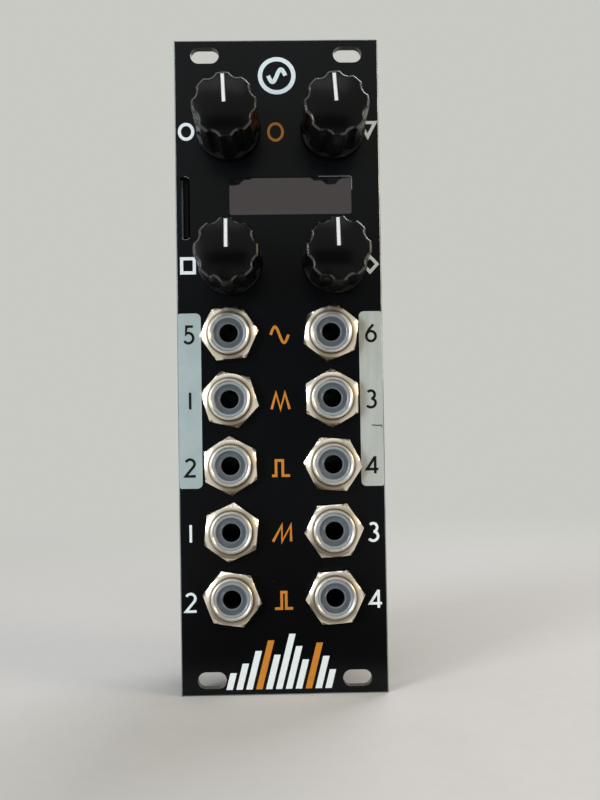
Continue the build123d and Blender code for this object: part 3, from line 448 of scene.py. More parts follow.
# %% Bright nickel plate
bushing_radius = 4.02 * MM
seat_inner = (4.00 * MM, 4.08 * MM)         # where the seat's painted shade begins and is full
seat_outer = (4.55 * MM, 4.25 * MM)
face_edge = (5.05 * MM, 4.85 * MM)
chamfer_start = (5.2 * MM, 5.4 * MM)
nut_bands = [(4.65, 0.5, -0.02, 0.42), (3.73, 0.28, -0.75, 0.75)]
nut_ring_spacing = 0.25
handling_size = 1.8
dent_depth = 0.03 * MM
blotch_size = 1.3

# Bright nickel over turned brass: warm white metal with soft streaks that swing round each jack.
nickel, tree, skin, place = start_material(
    "bright nickel plate on turned brass", Metallic=1.0, Anisotropic=0.85
)
radius, ray = folded(tree, place, *jack_grid)[:2]
handling, plate = cloudy(tree, place, handling_size, "#F2E7D2", "#FCF5E7", Detail=5, Roughness=0.6)
rim = add(tree, "Math", {0: radius, 1: bushing_radius}, operation="LESS_THAN")
plate = add(tree, "MixRGB", {"Fac": rim, "Color1": plate, "Color2": "#FBF8F1"})
# A brown ring in the seat between nut and bushing: painted shade of the gap.
inner = add(tree, "MapRange", {"Value": radius, "From Min": seat_inner[0], "From Max": seat_inner[1]})
outer = add(tree, "MapRange", {"Value": radius, "From Min": seat_outer[0], "From Max": seat_outer[1]})
seat = add(tree, "Math", {0: inner, 1: outer}, operation="MULTIPLY")
painted_seat_shade = add(tree, "Math", {0: seat, 1: 0.8}, operation="MULTIPLY")
painted_light = add(tree, "MixRGB", {"Fac": painted_seat_shade, "Color1": plate, "Color2": "#7A6A50"})
# Dark brown blotches on the chamfers: painted dark reflections.
chamfer = add(tree, "MapRange", {"Value": facing(tree, "Y"), "From Min": -0.95, "From Max": -0.88})
blotches = add(tree, "TexNoise", {
    "Vector": place, "Scale": per_mm(blotch_size), "Detail": 3, "Roughness": 0.6,
})
blotch = add(tree, "MapRange", {"Value": blotches, "From Min": 0.47, "From Max": 0.53})
outside = add(tree, "MapRange", {
    "Value": radius, "From Min": chamfer_start[0], "From Max": chamfer_start[1], "To Max": 0.8,
})
chamfer_dark_reflection = add(tree, "Math", {0: chamfer, 1: blotch}, operation="MULTIPLY")
chamfer_dark_reflection = add(tree, "Math", {0: chamfer_dark_reflection, 1: outside}, operation="MULTIPLY")
painted_light = add(tree, "MixRGB", {"Fac": chamfer_dark_reflection, "Color1": painted_light, "Color2": "#3A2F21"})
gloss = add(tree, "MapRange", {"Value": handling, "To Min": 0.32, "To Max": 0.44})
face = add(tree, "MapRange", {"Value": radius, "From Min": face_edge[0], "From Max": face_edge[1]})
gloss = add(tree, "Mix", {"Factor": face, "A": 0.16, "B": gloss})
relief = tool_marks(tree, radius, nut_ring_spacing, 0.25, domed(tree, radius, ray, nut_bands))
dents = add(tree, "Bump", {
    "Height": handling, "Strength": 0.35, "Distance": dent_depth, "Normal": relief,
})
wire(tree, skin, {"Base Color": painted_light, "Roughness": gloss, "Normal": dents, "Tangent": ray})
dress(nickel, "jack_nuts", "jack_bushings")
print("nut chamfers from", round(chamfer_start[0] / MM, 2), "mm")

# %% [markdown]
# ## Jack inserts
# Inside each bushing sits a moulded nylon insert with the hole for the plug. It is a cloudy
# blue grey with a polished mould surface. Thin parts let light through, so the rim and the lip
# of the hole look paler than the dish between them. Subsurface scattering would also give that,
# but at this size colouring by the distance from the axis is cleaner and exports well. The mould
# was turned too, and its rings are drawn 0.4 mm apart.

# %% Moulded grey nylon
insert_rim = (2.75 * MM, 3.1 * MM)
hole_lip = (2.12 * MM, 1.9 * MM)
hole_radius = 2.0 * MM
painted_hole_shade = (-4.2 * MM, -3.2 * MM)      # depths between which the hole is painted dark as shade
insert_bands = [(3.16, 0.3, -0.8, 0.8), (1.95, 0.17, -0.7, 0.7)]
insert_ring_spacing = 0.4
cloud_size = 2.5

# Moulded nylon: milky grey, glossy on its rounded rim, with a soft glow where it is thin.
nylon, tree, skin, place = start_material("polished moulded nylon, cloudy grey", IOR=1.53, Roughness=0.13)
radius, ray, depth = folded(tree, place, *jack_grid)
rim = add(tree, "MapRange", {"Value": radius, "From Min": insert_rim[0], "From Max": insert_rim[1]})
lip = add(tree, "MapRange", {
    "Value": radius, "From Min": hole_lip[0], "From Max": hole_lip[1], "To Max": 0.4,
})
pale = add(tree, "Math", {0: rim, 1: lip}, operation="MAXIMUM")
dish = cloudy(tree, place, cloud_size, "#464C51", "#626A70", Detail=4)[1]
colour = add(tree, "MixRGB", {"Fac": pale, "Color1": dish, "Color2": "#8F979B"})
# Deeper in the hole the colour turns nearly black: painted shade inside the bore.
inside = add(tree, "MapRange", {"Value": depth, "From Min": painted_hole_shade[0], "From Max": painted_hole_shade[1]})
bore = add(tree, "Math", {0: radius, 1: hole_radius}, operation="LESS_THAN")
dark = add(tree, "Math", {0: inside, 1: bore}, operation="MULTIPLY")
colour = add(tree, "MixRGB", {"Fac": dark, "Color1": colour, "Color2": "#16181B"})
rounded = domed(tree, radius, ray, insert_bands)
relief = tool_marks(tree, radius, insert_ring_spacing, 0.2, rounded)
wire(tree, skin, {"Base Color": colour, "Normal": relief})
dress(nylon, "jack_inserts")
print("insert hole", round(2 * hole_radius / MM, 1), "mm across at its lip")

# %% [markdown]
# ## Knobs and their lines
# The knobs are pressed from black phenolic resin. The sides and the rounded rim come polished
# from the mould, and the top is satin, so that the white line reads well. Two material slots
# could hold the two finishes. One material that looks at which way the surface faces also serves
# the rim between them. A Bevel node rounds the edges for the light alone. The top of a pressed
# part is slightly crowned, so its normals lean outwards towards the rim, and the top then mirrors
# the dark front of the room low down and the pale room higher up. Its grain is about 0.05 mm,
# drawn at 0.22 mm so as to show.

# %% Black phenolic resin
controls = ["upper_left", "upper_right", "lower_left", "lower_right"]
knob_middles = {}
for name in controls:
    low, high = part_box("knob_" + name)
    knob_middles[name] = (low + high) / 2
knob_column = (knob_middles["upper_right"].x - knob_middles["upper_left"].x) / 2
knob_row = knob_middles["upper_left"].z
knob_pitch = knob_row - knob_middles["lower_left"].z
knob_radius = 6.0 * MM
crown_lean = 0.27           # of the normal at the rim, to its length
flow_size = 5
grain_size, grain_depth = 0.22, 0.006 * MM
lint_spacing = 3.1
lint_reach = 0.022          # of the spacing
edge_radius = 0.42 * MM

# Pressed phenolic resin: dense black with a hard wet shine on the edges and a soft one on top.
phenolic, tree, skin, place = start_material(
    "moulded black phenolic resin", IOR=1.5, Specular_IOR_Level=0.16, Coat_Roughness=0.08, Coat_IOR=1.7
)
top = add(tree, "MapRange", {"Value": facing(tree, "Y"), "From Min": -0.80, "From Max": -0.97})
flow, resin = cloudy(tree, place, flow_size, "#050506", "#09090B", Detail=5, Roughness=0.55)
blast = add(tree, "TexNoise", {"Vector": place, "Scale": per_mm(grain_size), "Detail": 2})
satin = add(tree, "MixRGB", {"Fac": top, "Color1": resin, "Color2": "#050506"})
lint = add(tree, "TexVoronoi", {"Vector": place, "Scale": per_mm(lint_spacing)})
fleck = add(tree, "Math", {0: lint, 1: lint_reach}, operation="LESS_THAN")
colour = add(tree, "MixRGB", {"Fac": fleck, "Color1": satin, "Color2": "#4A4B4D"})
gloss = add(tree, "MapRange", {"Value": top, "To Min": 0.26, "To Max": 0.2})
smudge = add(tree, "MapRange", {"Value": flow, "To Min": -0.05, "To Max": 0.07})
rough = add(tree, "Math", {0: gloss, 1: smudge}, operation="ADD")
soft_edge = add(tree, "Bevel", {"Radius": edge_radius}, samples=6)
ray = folded(tree, place, knob_column, knob_row, knob_pitch)[1]
crown = add(tree, "Math", {0: top, 1: crown_lean / knob_radius}, operation="MULTIPLY")
relief = add(tree, "Bump", {
    "Height": blast, "Strength": top, "Distance": grain_depth, "Normal": leaned(tree, soft_edge, ray, crown),
})
softened = add(tree, "SeparateXYZ", {"Vector": soft_edge}).outputs["Y"]
glaze = add(tree, "MapRange", {"Value": softened, "From Min": -0.15, "From Max": -0.35, "To Min": 0.12})
glaze = add(tree, "Math", {0: glaze, 1: top}, operation="SUBTRACT", use_clamp=True)
wire(tree, skin, {
    "Base Color": colour, "Roughness": rough, "Normal": relief,
    "Coat Weight": glaze, "Coat Normal": soft_edge,
})
dress(phenolic, *["knob_" + name for name in controls])
print("knobs", round(2 * knob_column / MM, 2), "mm apart, rows", round(knob_pitch / MM, 2), "mm apart")

# %% [markdown]
# The knob's line is a groove that was filled with white enamel and wiped. The enamel shrinks as
# it dries and comes off the groove's edges, so that a thin dark border is left on both sides.
# Each line points its own way, so each has its own copy of the material, which measures how far
# a point lies from the middle of the line. Narrower solids would need no such measure, but the
# groove itself is as wide as the solid.

# %% White enamel in the knobs' grooves
paint_half = 0.30 * MM
paint_fade = 0.06 * MM
brush_size, brush_depth = 0.6, 0.02 * MM
for name in controls:
    low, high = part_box("pointer_" + name)
    along = ((low + high) / 2 - knob_middles[name]) * Vector((1, 0, 1))
    across = Vector((along.z, 0, -along.x)).normalized()
    # Enamel: opaque and slightly uneven white, duller than the resin round it.
    filler, tree, skin, place = start_material(
        "white enamel in a groove, " + name.replace("_", " "), Roughness=0.5
    )
    brush, white = cloudy(tree, place, brush_size, "#D2D4D4", "#E6E8E8", Detail=3)
    offset = add(tree, "VectorMath", {0: place, 1: knob_middles[name]}, operation="SUBTRACT")
    offset = add(tree, "VectorMath", {0: offset, 1: across}, operation="DOT_PRODUCT").outputs["Value"]
    offset = add(tree, "Math", {0: offset}, operation="ABSOLUTE")
    border = add(tree, "MapRange", {
        "Value": offset, "From Min": paint_half - paint_fade, "From Max": paint_half + paint_fade,
    })
    colour = add(tree, "MixRGB", {"Fac": border, "Color1": white, "Color2": "#0A0A0B"})
    relief = add(tree, "Bump", {"Height": brush, "Strength": 0.3, "Distance": brush_depth})
    wire(tree, skin, {"Base Color": colour, "Normal": relief})
    dress(filler, "pointer_" + name)
    print("line", name, "leans", round(math.degrees(math.atan2(along.x, along.z)), 1), "degrees")

# %% [markdown]
# ## The display
# Behind the window is the cover glass of a small display that is switched off. It mirrors the
# room like a dark window, with two reflections, from the front and the back of the glass, so its
# specular level is twice that of a single surface. Its coating tints them faintly purple. Clear
# glass over a dark layer could be traced instead, but it is slower and noisier for the same look,
# so the glass is opaque and nearly black. The lit area ends just above the window's lower edge,
# which shows as a faint line.

# %% Display glass
glass_low, glass_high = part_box("display_glass")
window_z = (glass_low.z + glass_high.z) / 2
lit_bottom = window_z - 3.2 * MM
line_half = 0.12 * MM
film_patch, film_depth = 8, 0.01 * MM

# Coated float glass over a dark display: a clear dim mirror with a warm purple cast.
glass, tree, skin, place = start_material(
    "display glass, switched off", IOR=1.6, Roughness=0.03, Specular_IOR_Level=1.0, Specular_Tint="#FFF0F6"
)
coating, off = cloudy(tree, place, film_patch, "#06070A", "#0A0B0F", Detail=3)
height = add(tree, "SeparateXYZ", {"Vector": place}).outputs["Z"]
line = add(tree, "Math", {0: height, 1: lit_bottom, 2: line_half}, operation="COMPARE")
colour = add(tree, "MixRGB", {"Fac": line, "Color1": off, "Color2": "#16161A"})
wave = add(tree, "Bump", {"Height": coating, "Strength": 0.1, "Distance": film_depth})
wire(tree, skin, {"Base Color": colour, "Normal": wave})
dress(glass, "display_glass")
print("window middle at", round(window_z / MM, 2), "mm")

# %% [markdown]
# In the photograph the dark surface in the window lies almost level with the panel, and the
# knobs above it are mirrored in its top edge. So a pane stands in the window in front of the
# display's own glass. It leans back by a little more than two degrees, which brings the mirrored
# knobs as far down as they are in the picture. It is a plate with rounded corners, made from one
# outline that is pulled forwards. A cube with a bevel would do as well, but its front couldn't
# lean while its back stays upright.


# %% Window pane
def put(name, mesh, material):
    """Makes a bmesh an object of the scene with one material."""
    data = bpy.data.meshes.new(name)
    mesh.to_mesh(data)
    mesh.free()
    data.materials.append(material)
    made = bpy.data.objects.new(name, data)
    scene.collection.objects.link(made)
    return made


def rounded_outline(middle, size, corner, steps=5):
    """Anticlockwise corner points of a rounded rectangle, in mm."""
    across, up = size[0] / 2 - corner, size[1] / 2 - corner
    points = []
    for quarter, (side, rise) in enumerate([(1, 1), (-1, 1), (-1, -1), (1, -1)]):
        for step in range(steps + 1):
            angle = math.radians(90 * quarter + 90 * step / steps)
            points.append((
                middle[0] + side * across + corner * math.cos(angle),
                middle[1] + rise * up + corner * math.sin(angle),
            ))
    return points


window_middle = (2.45, 33.224)
window_size = (24.1, 7.45)
pane_gap, pane_corner = 0.04, 0.46
pane_top_y, pane_foot_y, pane_back_y = -1.68, -1.96, -0.3

pane_points = rounded_outline(window_middle, [side - 2 * pane_gap for side in window_size], pane_corner)
mesh = bmesh.new()
foot = window_middle[1] - window_size[1] / 2
pane_lean = (pane_top_y - pane_foot_y) / window_size[1]
front = [mesh.verts.new(Vector((x, pane_foot_y + pane_lean * (z - foot), z)) * MM) for x, z in pane_points]
back = [mesh.verts.new(Vector((x, pane_back_y, z)) * MM) for x, z in pane_points]
mesh.faces.new(front)
mesh.faces.new(back[::-1])
for index in range(len(front)):
    after = (index + 1) % len(front)
    mesh.faces.new((front[index], back[index], back[after], front[after]))
bmesh.ops.recalc_face_normals(mesh, faces=mesh.faces)
pane = put("window_pane", mesh, glass)
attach(pane, "chassis")
print("pane leans", round(math.degrees(math.atan(pane_lean)), 1), "degrees")

# %% [markdown]
# Round the glass lies black foam that keeps dust and stray light out. Its cells could be modelled,
# but they are hardly seen, so a cell pattern raises and darkens the surface instead. The cells of
# real foam are about 0.1 mm wide and are drawn at 0.35 mm.

# %% Foam
foam_cell, foam_depth = 0.35, 0.08 * MM
# Closed-cell foam: soft black without any gloss, a little darker towards its cell walls.
foam, tree, skin, place = start_material("closed-cell black foam", Roughness=0.95, Specular_IOR_Level=0.2)
cells = add(tree, "TexVoronoi", {"Vector": place, "Scale": per_mm(foam_cell)})
tone = add(tree, "MixRGB", {"Fac": cells, "Color1": "#151516", "Color2": "#0A0A0B"})
relief = add(tree, "Bump", {"Height": cells, "Strength": 0.8, "Distance": foam_depth})
wire(tree, skin, {"Base Color": tone, "Normal": relief})
dress(foam, "display_foam")
print("foam cells", foam_cell, "mm")

# %% [markdown]
# ## Circuit boards
# The boards are glass-filled epoxy under a black, satin solder mask. Copper tracks under the
# mask stand 0.035 mm proud, and they show only as paler ridges. Real tracks are 0.2 mm apart,
# which is too fine to be seen, and are drawn as broad ones 3.8 mm apart. They could be modelled
# as films like the print further down, but most of a board is hidden behind others, so a pattern
# does: bands that run along or across in patches, as a router lays them. The sawn edges show the
# pale brown epoxy. The card socket's small board stands on edge, so its faces look sideways. The
# same recipe is therefore a function that takes the direction that the board faces.

# %% Black solder mask
wave_radians = 20           # of Blender's wave texture in one unit, so a band repeats every 2 pi / 20
track_radian = 0.6          # mm of board for one radian of the wave
track_height = 0.035 * MM
patch_size = 6.5
weave_size = 0.5


def solder_mask(name, faces):
    """Mask over tracks on faces along the axis faces, and sawn epoxy on all the other sides."""
    # Solder mask over copper: satin black with raised greener lines, and dull straw-brown edges.
    material, tree, skin, place = start_material(name, Roughness=0.34)
    patches = add(tree, "TexVoronoi", {"Vector": place, "Scale": per_mm(patch_size)}, distance="CHEBYCHEV")
    choice = add(tree, "SeparateColor", {"Color": patches.outputs["Color"]}).outputs
    lines = {"Vector": place, "Scale": per_mm(track_radian) / wave_radians}
    along = add(tree, "TexWave", lines, bands_direction="Z").outputs["Fac"]
    across = add(tree, "TexWave", lines, bands_direction="X").outputs["Fac"]
    turn = add(tree, "Math", {0: choice["Red"], 1: 0.5}, operation="GREATER_THAN")
    bands = add(tree, "Mix", {"Factor": turn, "A": along, "B": across})
    track = add(tree, "MapRange", {"Value": bands, "From Min": 0.45, "From Max": 0.6})
    routed = add(tree, "Math", {0: choice["Green"], 1: 0.45}, operation="GREATER_THAN")
    track = add(tree, "Math", {0: track, 1: routed}, operation="MULTIPLY")
    lacquer = add(tree, "MixRGB", {"Fac": track, "Color1": "#0D0F0F", "Color2": "#1C2120"})
    level = add(tree, "Math", {0: facing(tree, faces)}, operation="ABSOLUTE")
    sawn = add(tree, "Math", {0: level, 1: 0.5}, operation="LESS_THAN")
    epoxy = cloudy(tree, place, weave_size, "#4A4227", "#83774C", Detail=4)[1]
    colour = add(tree, "MixRGB", {"Fac": sawn, "Color1": lacquer, "Color2": epoxy})
    relief = add(tree, "Bump", {"Height": track, "Strength": 0.7, "Distance": track_height})
    wire(tree, skin, {"Base Color": colour, "Normal": relief})
    return material


dress(solder_mask("black solder mask over copper tracks", "Y"), "main_board", "rear_board", "display_board")
dress(solder_mask("black solder mask, upright board", "X"), "card_board")
print("four boards dressed, tracks", round(2 * math.pi * track_radian, 1), "mm apart")

# %% [markdown]
# ## Plastics
# The jack bodies, sockets, headers and rotors are glass-filled nylon and polyester, black and
# slightly grainy from the mould. The control bases are brown phenolic laminate, which older
# pots and encoders have. The chips are matt black epoxy, and the memory card is a smoother one.
# They differ in colour, in gloss and in the size of the mould's grain, so one function lays on
# any such grain and each plastic keeps its own shader. A mould's spark-eroded grain is about
# 0.05 mm, and it is drawn two to six times as coarse, so that the surface doesn't look like paint.


# %% Moulded plastics
def grainy(name, dark, pale, grain, depth, **plain):
    """A moulded surface: two near tones in cloudy patches and a bump of the mould's grain in mm."""
    material, tree, skin, place = start_material(name, **plain)
    cloud, tone = cloudy(tree, place, 8 * grain, dark, pale, Detail=5, Roughness=0.6)
    pits = add(tree, "TexNoise", {"Vector": place, "Scale": per_mm(grain), "Detail": 3})
    relief = add(tree, "Bump", {"Height": pits, "Strength": 0.5, "Distance": depth * MM})
    base = skin.inputs["Roughness"].default_value
    rough = add(tree, "MapRange", {"Value": cloud, "To Min": 0.8 * base, "To Max": 1.2 * base})
    wire(tree, skin, {"Base Color": tone, "Normal": relief, "Roughness": rough})
    return material


# Glass-filled nylon: charcoal black, dull and faintly cloudy where the fibres come to the surface.
black_nylon = grainy("glass-filled black nylon", "#111214", "#1B1C1F", 0.2, 0.02, Roughness=0.48)
dress(
    black_nylon, "jack_housings", "board_sockets", "header_strips", "power_header", "capacitor_bases",
    "card_pin_strip", "card_socket_base", *["rotor_" + name for name in controls],
)
# Punched phenolic laminate: warm brown, half gloss, with the mottling of pressed paper.
brown_laminate = grainy("brown phenolic laminate", "#4B2A17", "#6B4126", 0.3, 0.02, Roughness=0.45)
dress(brown_laminate, "control_bases")
# Moulded chip epoxy: very fine even grain, the dullest of the blacks.
chip_epoxy = grainy("matt black chip epoxy", "#161719", "#202124", 0.1, 0.01, Roughness=0.62)
dress(chip_epoxy, "amplifiers", "converter", "processor", "memory_chip", "regulators", "chip_resistors")
# Injection-moulded card: smooth black plastic, painted darker still as the shade of its slot, so that it
# hardly shows.
card_plastic_painted_dark = grainy(
    "smooth black card plastic, painted dark as its slot's shade", "#030304", "#060607", 0.15, 0.005, Roughness=0.45, Specular_IOR_Level=0.08
)
dress(card_plastic_painted_dark, "memory_card")
print("plastics on", sum(len(node.data.materials) > 0 for node in nodes.values()), "nodes")

# %% [markdown]
# ## Metals
# The spring contacts are rolled phosphor bronze, the shafts and cans aluminium, the frames,
# domes and shells zinc-plated steel, and the leads are dipped in tin. A rolled or drawn metal
# has its grain in one direction, so its noise is stretched along that direction by a scale
# that differs by axis. Brushing by an anisotropic shader would also do, but these parts are seen
# small, and streaks are cheaper. The real streaks are about 0.05 mm wide and are drawn at 0.2 to
# 0.5 mm. All metals keep the default IOR, because the base colour says how they reflect.

# %% Sheet and wire metals
streak_depth = 0.01 * MM


def rolled(name, dark, pale, grain, stretch, **plain):
    """Metal with its grain drawn out: two tones, a streaky gloss and a shallow bump, sizes in mm."""
    material, tree, skin, place = start_material(name, Metallic=1.0, **plain)
    drawn_out = add(tree, "VectorMath", {0: place, 1: stretch}, operation="MULTIPLY")
    streak, tone = cloudy(tree, drawn_out, grain, dark, pale, Detail=4)
    base = skin.inputs["Roughness"].default_value
    rough = add(tree, "MapRange", {"Value": streak, "To Min": 0.7 * base, "To Max": 1.3 * base})
    relief = add(tree, "Bump", {"Height": streak, "Strength": 0.3, "Distance": streak_depth})
    wire(tree, skin, {"Base Color": tone, "Roughness": rough, "Normal": relief})
    return material


# Rolled phosphor bronze: reddish gold with long faint streaks.
bronze = rolled("rolled phosphor bronze", "#B4855A", "#D2A676", 0.2, (1, 0.15, 1), Roughness=0.3)
dress(bronze, "jack_sleeve_springs", "jack_tip_springs", "jack_switch_contacts")
# Zinc-plated sheet: cold grey, cloudy, with a blurred shine.
zinc = rolled("zinc-plated steel sheet", "#8C9093", "#B2B6B9", 0.5, (1, 1, 0.2), Roughness=0.5)
dress(zinc, "control_frames", "card_socket_shell", "switch_domes", "crystal")
# Drawn hexagon bar, nickel-plated: warm grey with fine lines along its length.
hexagon_bar = rolled("nickel-plated hexagon bar", "#A9A393", "#CFC9B8", 0.3, (1, 0.1, 1), Roughness=0.28)
dress(hexagon_bar, "standoffs")
# Cold-headed screw steel, nickel-plated: warm grey and a little rough from barrel plating.
screw_steel = rolled("nickel-plated screw steel", "#A8A59C", "#CBC8BE", 0.3, (1, 0.3, 1), Roughness=0.3)
dress(screw_steel, "standoff_screws")
# Drawn aluminium: the palest of the metals, with fine lines down its sides.
drawn_aluminium = rolled("drawn aluminium", "#BFC1C3", "#DADCDD", 0.25, (1, 0.12, 1), Roughness=0.36)
dress(drawn_aluminium, "capacitor_cans", "control_bushes", *["shaft_" + name for name in controls])
# Hot-dipped tin: bright, soft and slightly lumpy.
tin = rolled("tin-dipped leads", "#B2B5B6", "#D3D6D6", 0.4, (1, 1, 1), Roughness=0.26)
dress(tin, "control_pins", "chip_leads")
# Gold flash over nickel: pale yellow and bright, as thin gold is.
gold = rolled("gold flash over nickel", "#CFA95C", "#E6C87E", 0.3, (1, 0.3, 1), Roughness=0.22)
dress(gold, "board_pins", "card_pins", "rear_pins")
print(len(bpy.data.materials), "materials so far")

# %% [markdown]
# ## The last three finishes
# The pot tracks are screen-printed carbon on the laminate, dull and nearly black. The display's
# ribbon is amber polyimide film with copper lines inside, which are 0.5 mm apart on a real one
# and are drawn 3.1 mm apart. The small ceramic capacitors are fired tan ceramic. The carbon and
# the ceramic could have recipes of their own, but both are plain grainy surfaces, so the
# plastics' function serves them too.

# %% Carbon, polyimide and ceramic
# Screen-printed carbon: dull grey black, like dried ink.
carbon = grainy("screen-printed carbon track", "#18181A", "#26262A", 0.12, 0.01, Roughness=0.7)
dress(carbon, "pot_tracks")

# Polyimide film over copper: glossy amber with darker gaps between the lines.
ribbon_radian = 0.5         # mm of ribbon for one radian of the wave
copper_step = 0.02 * MM
ribbon, tree, skin, place = start_material("amber polyimide film over copper", IOR=1.7, Roughness=0.22)
lines = {"Vector": place, "Scale": per_mm(ribbon_radian) / wave_radians}
bands = add(tree, "TexWave", lines, bands_direction="Z").outputs["Fac"]
copper = add(tree, "MapRange", {"Value": bands, "From Min": 0.4, "From Max": 0.6})
amber = add(tree, "MixRGB", {"Fac": copper, "Color1": "#7A4A12", "Color2": "#B9702A"})
relief = add(tree, "Bump", {"Height": copper, "Strength": 0.5, "Distance": copper_step})
wire(tree, skin, {"Base Color": amber, "Normal": relief})
dress(ribbon, "display_ribbon")

# Fired ceramic: even tan with a dull shine.
ceramic = grainy("fired tan ceramic", "#8D6E4A", "#AB8B62", 0.1, 0.005, Roughness=0.5)
dress(ceramic, "chip_capacitors")
print("ribbon lines", round(2 * math.pi * ribbon_radian, 1), "mm apart")

# %% [markdown]
# ## Printed marks
# The panel is screen-printed after anodising: two pale bars at the sides that mark the inputs,
# plain numbers beside the jacks, and small signs between the columns. Ink lies on the surface as
# a film of about 0.02 mm, which catches the light at its edge. An image texture would be the
# usual way. Here each sign is drawn as a pen line with a width and made into a thin film of
# mesh, so it stays sharp at any size. The function below turns a line of points into the quads
# that a flat pen would leave, with mitred bends.

# %% Pen lines
mitre_limit = 0.45          # a sharper bend's corner is cut short


def pen(points, width, closed=False):
    """Quads of a line of that width through 2-D points."""
    line = [Vector(point) for point in points]
    last = len(line) - 1
    edges = []
    for index, point in enumerate(line):
        after = line[(index + 1) % len(line)] if index < last or closed else None
        before = line[index - 1] if index > 0 or closed else None
        out = (after - point).normalized() if after is not None else (point - before).normalized()
        into = (point - before).normalized() if before is not None else out
        middle = (into + out).normalized()
        side = Vector((-middle.y, middle.x))
        side *= width / 2 / max(side.dot(Vector((-into.y, into.x))), mitre_limit)
        edges.append((point + side, point - side))
    following = edges[1:] + edges[:1] if closed else edges[1:]
    return [[one[0], two[0], two[1], one[1]] for one, two in zip(edges, following)]


def arc(x, y, across, up, start, end, steps=14):
    """Points along part of an ellipse, by degrees from the right, anticlockwise."""
    angles = [math.radians(start + (end - start) * step / steps) for step in range(steps + 1)]
    return [(x + across * math.cos(angle), y + up * math.sin(angle)) for angle in angles]


def ellipse(x, y, across, up, corners):
    """Points all the way round an ellipse, the first of them not repeated."""
    return arc(x, y, across, up, 0, 360 - 360 / corners, corners - 1)


print("a right-angled line has", len(pen([(0, 0), (1, 0), (1, 1)], 0.1)), "quads")

# %% [markdown]
# The film itself is laid on a flat face. The face is given by its origin and by the directions
# that are right and up for someone who looks at it. Each pen line becomes one thin closed solid.
# Where lines of one sign cross, the later one is a hair thicker, so that the two tops don't lie
# in the same plane.

# %% Films on a face
film_thickness = 0.02
film_step = 0.002
film_layers = 4
weld_distance = 0.0005 * MM


def face_at(y, across=1):
    """A face at a depth y in metres, seen from the front, or from behind where across is -1."""
    return Vector((0, y, 0)), Vector((across, 0, 0)), Vector((0, 0, 1))


def film(name, shapes, ink, face, body):
    """Thin closed solids on a face, one for each shape, a shape being a list of flat polygons in mm."""
    origin, right, up = face
    out = right.cross(up)
    made = bmesh.new()
    for layer, polygons in enumerate(shapes):
        shape = bmesh.new()
        for polygon in polygons:
            corners = [origin + MM * (point[0] * right + point[1] * up) for point in polygon]
            shape.faces.new([shape.verts.new(corner) for corner in corners])
        bmesh.ops.remove_doubles(shape, verts=shape.verts, dist=weld_distance)
        grown = bmesh.ops.extrude_face_region(shape, geom=list(shape.faces))
        raised = [item for item in grown["geom"] if isinstance(item, bmesh.types.BMVert)]
        rise = (film_thickness + film_step * (layer % film_layers)) * MM
        bmesh.ops.translate(shape, verts=raised, vec=out * rise)
        bmesh.ops.recalc_face_normals(shape, faces=shape.faces)
        part = bpy.data.meshes.new("part")
        shape.to_mesh(part)
        shape.free()
        made.from_mesh(part)
        bpy.data.meshes.remove(part)
    piece = put(name, made, ink)
    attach(piece, body)


def moved(polygons, x, y):
    """Polygons moved to a place."""
    return [[(x + point[0], y + point[1]) for point in polygon] for polygon in polygons]


def drawn(marks, size, width):
    """Shapes of marks, each with its place and its pen lines, size being the mm of one unit."""
    shapes = []
    for x, z, lines in marks:
        for points, closed in lines:
            scaled = [(px * size, pz * size) for px, pz in points]
            shapes.append(moved(pen(scaled, width, closed), x, z))
    return shapes


panel_face = face_at(panel_face_y)
ink_top = face_at(panel_face_y - film_thickness * MM)
print("films are", film_thickness, "mm thick")

# %% [markdown]
# Screen ink is an opaque lacquer with a satin surface. The mesh of the screen leaves a very fine
# waviness and a slightly uneven tone. There are four inks for the marks: a pale blue-grey and a
# brighter white for the signs and numbers on the black, amber for the signs in the middle, and
# black for the numbers on the bars. The bars at the two sides get inks of their own. The right
# one's greener, warmer tone and faint upright streaks are a painted warm reflection over the pale
# print. The screen's threads are 0.1 mm apart and are drawn at 0.3 mm. One ink with a colour for
# each piece would be shorter, but the inks also differ in gloss and in the direction of their streaks.

# %% Inks
squeegee_patch = 1.2
thread_pitch, thread_depth = 0.3, 0.005 * MM


def ink(name, dark, pale, roughness=0.5, stretch=(1, 1, 1), **plain):
    """Screen-printing ink between two near tones, with its cloudiness drawn out by axis."""
    material, tree, skin, place = start_material(name, Roughness=roughness, **plain)
    drawn_out = add(tree, "VectorMath", {0: place, 1: stretch}, operation="MULTIPLY")
    tone = cloudy(tree, drawn_out, squeegee_patch, dark, pale, Detail=5, Roughness=0.7)[1]
    screen = add(tree, "TexNoise", {"Vector": place, "Scale": per_mm(thread_pitch), "Detail": 1})
    relief = add(tree, "Bump", {"Height": screen, "Strength": 0.3, "Distance": thread_depth})
    wire(tree, skin, {"Base Color": tone, "Normal": relief})
    return material


# Screen lacquers: flat, opaque and satin, each with a faint cloudiness from the squeegee.
white_ink = ink("white screen ink", "#DCE5E7", "#EAF0F0")
grey_ink = ink("pale blue-grey screen ink", "#CCDCE1", "#D8E6EA")
amber_ink = ink("amber screen ink", "#BC7310", "#CC8218")
black_ink = ink("black screen ink", "#040405", "#08080A", 0.6, Specular_IOR_Level=0.15)
bar_left = ink("pale screen ink, left bar", "#98A8A9", "#A4B4B4", 0.42)
# The right bar's greener, warmer tone in upright streaks is a painted warm reflection over the pale print.
bar_right_painted_reflection = ink("pale screen ink, right bar, with a painted warm reflection", "#999E97", "#BAC2BD", 0.42, (1, 1, 0.1))
print("inks", [material.name for material in bpy.data.materials if "ink" in material.name])

# %% [markdown]
# ### The side bars
# The two bars run from the panel's edge to the nuts, with their two inner corners rounded. They
# reach as far as the sheet's broken edge. The right one has a small scratch down to the black.

# %% Bars
bar_reach = (15.5, 19.97)
bar_span = (-24.05, 10.2)
bar_round = 1.0
bar_outer_round = 0.45
scratch_width, nick_width = 0.2, 0.18


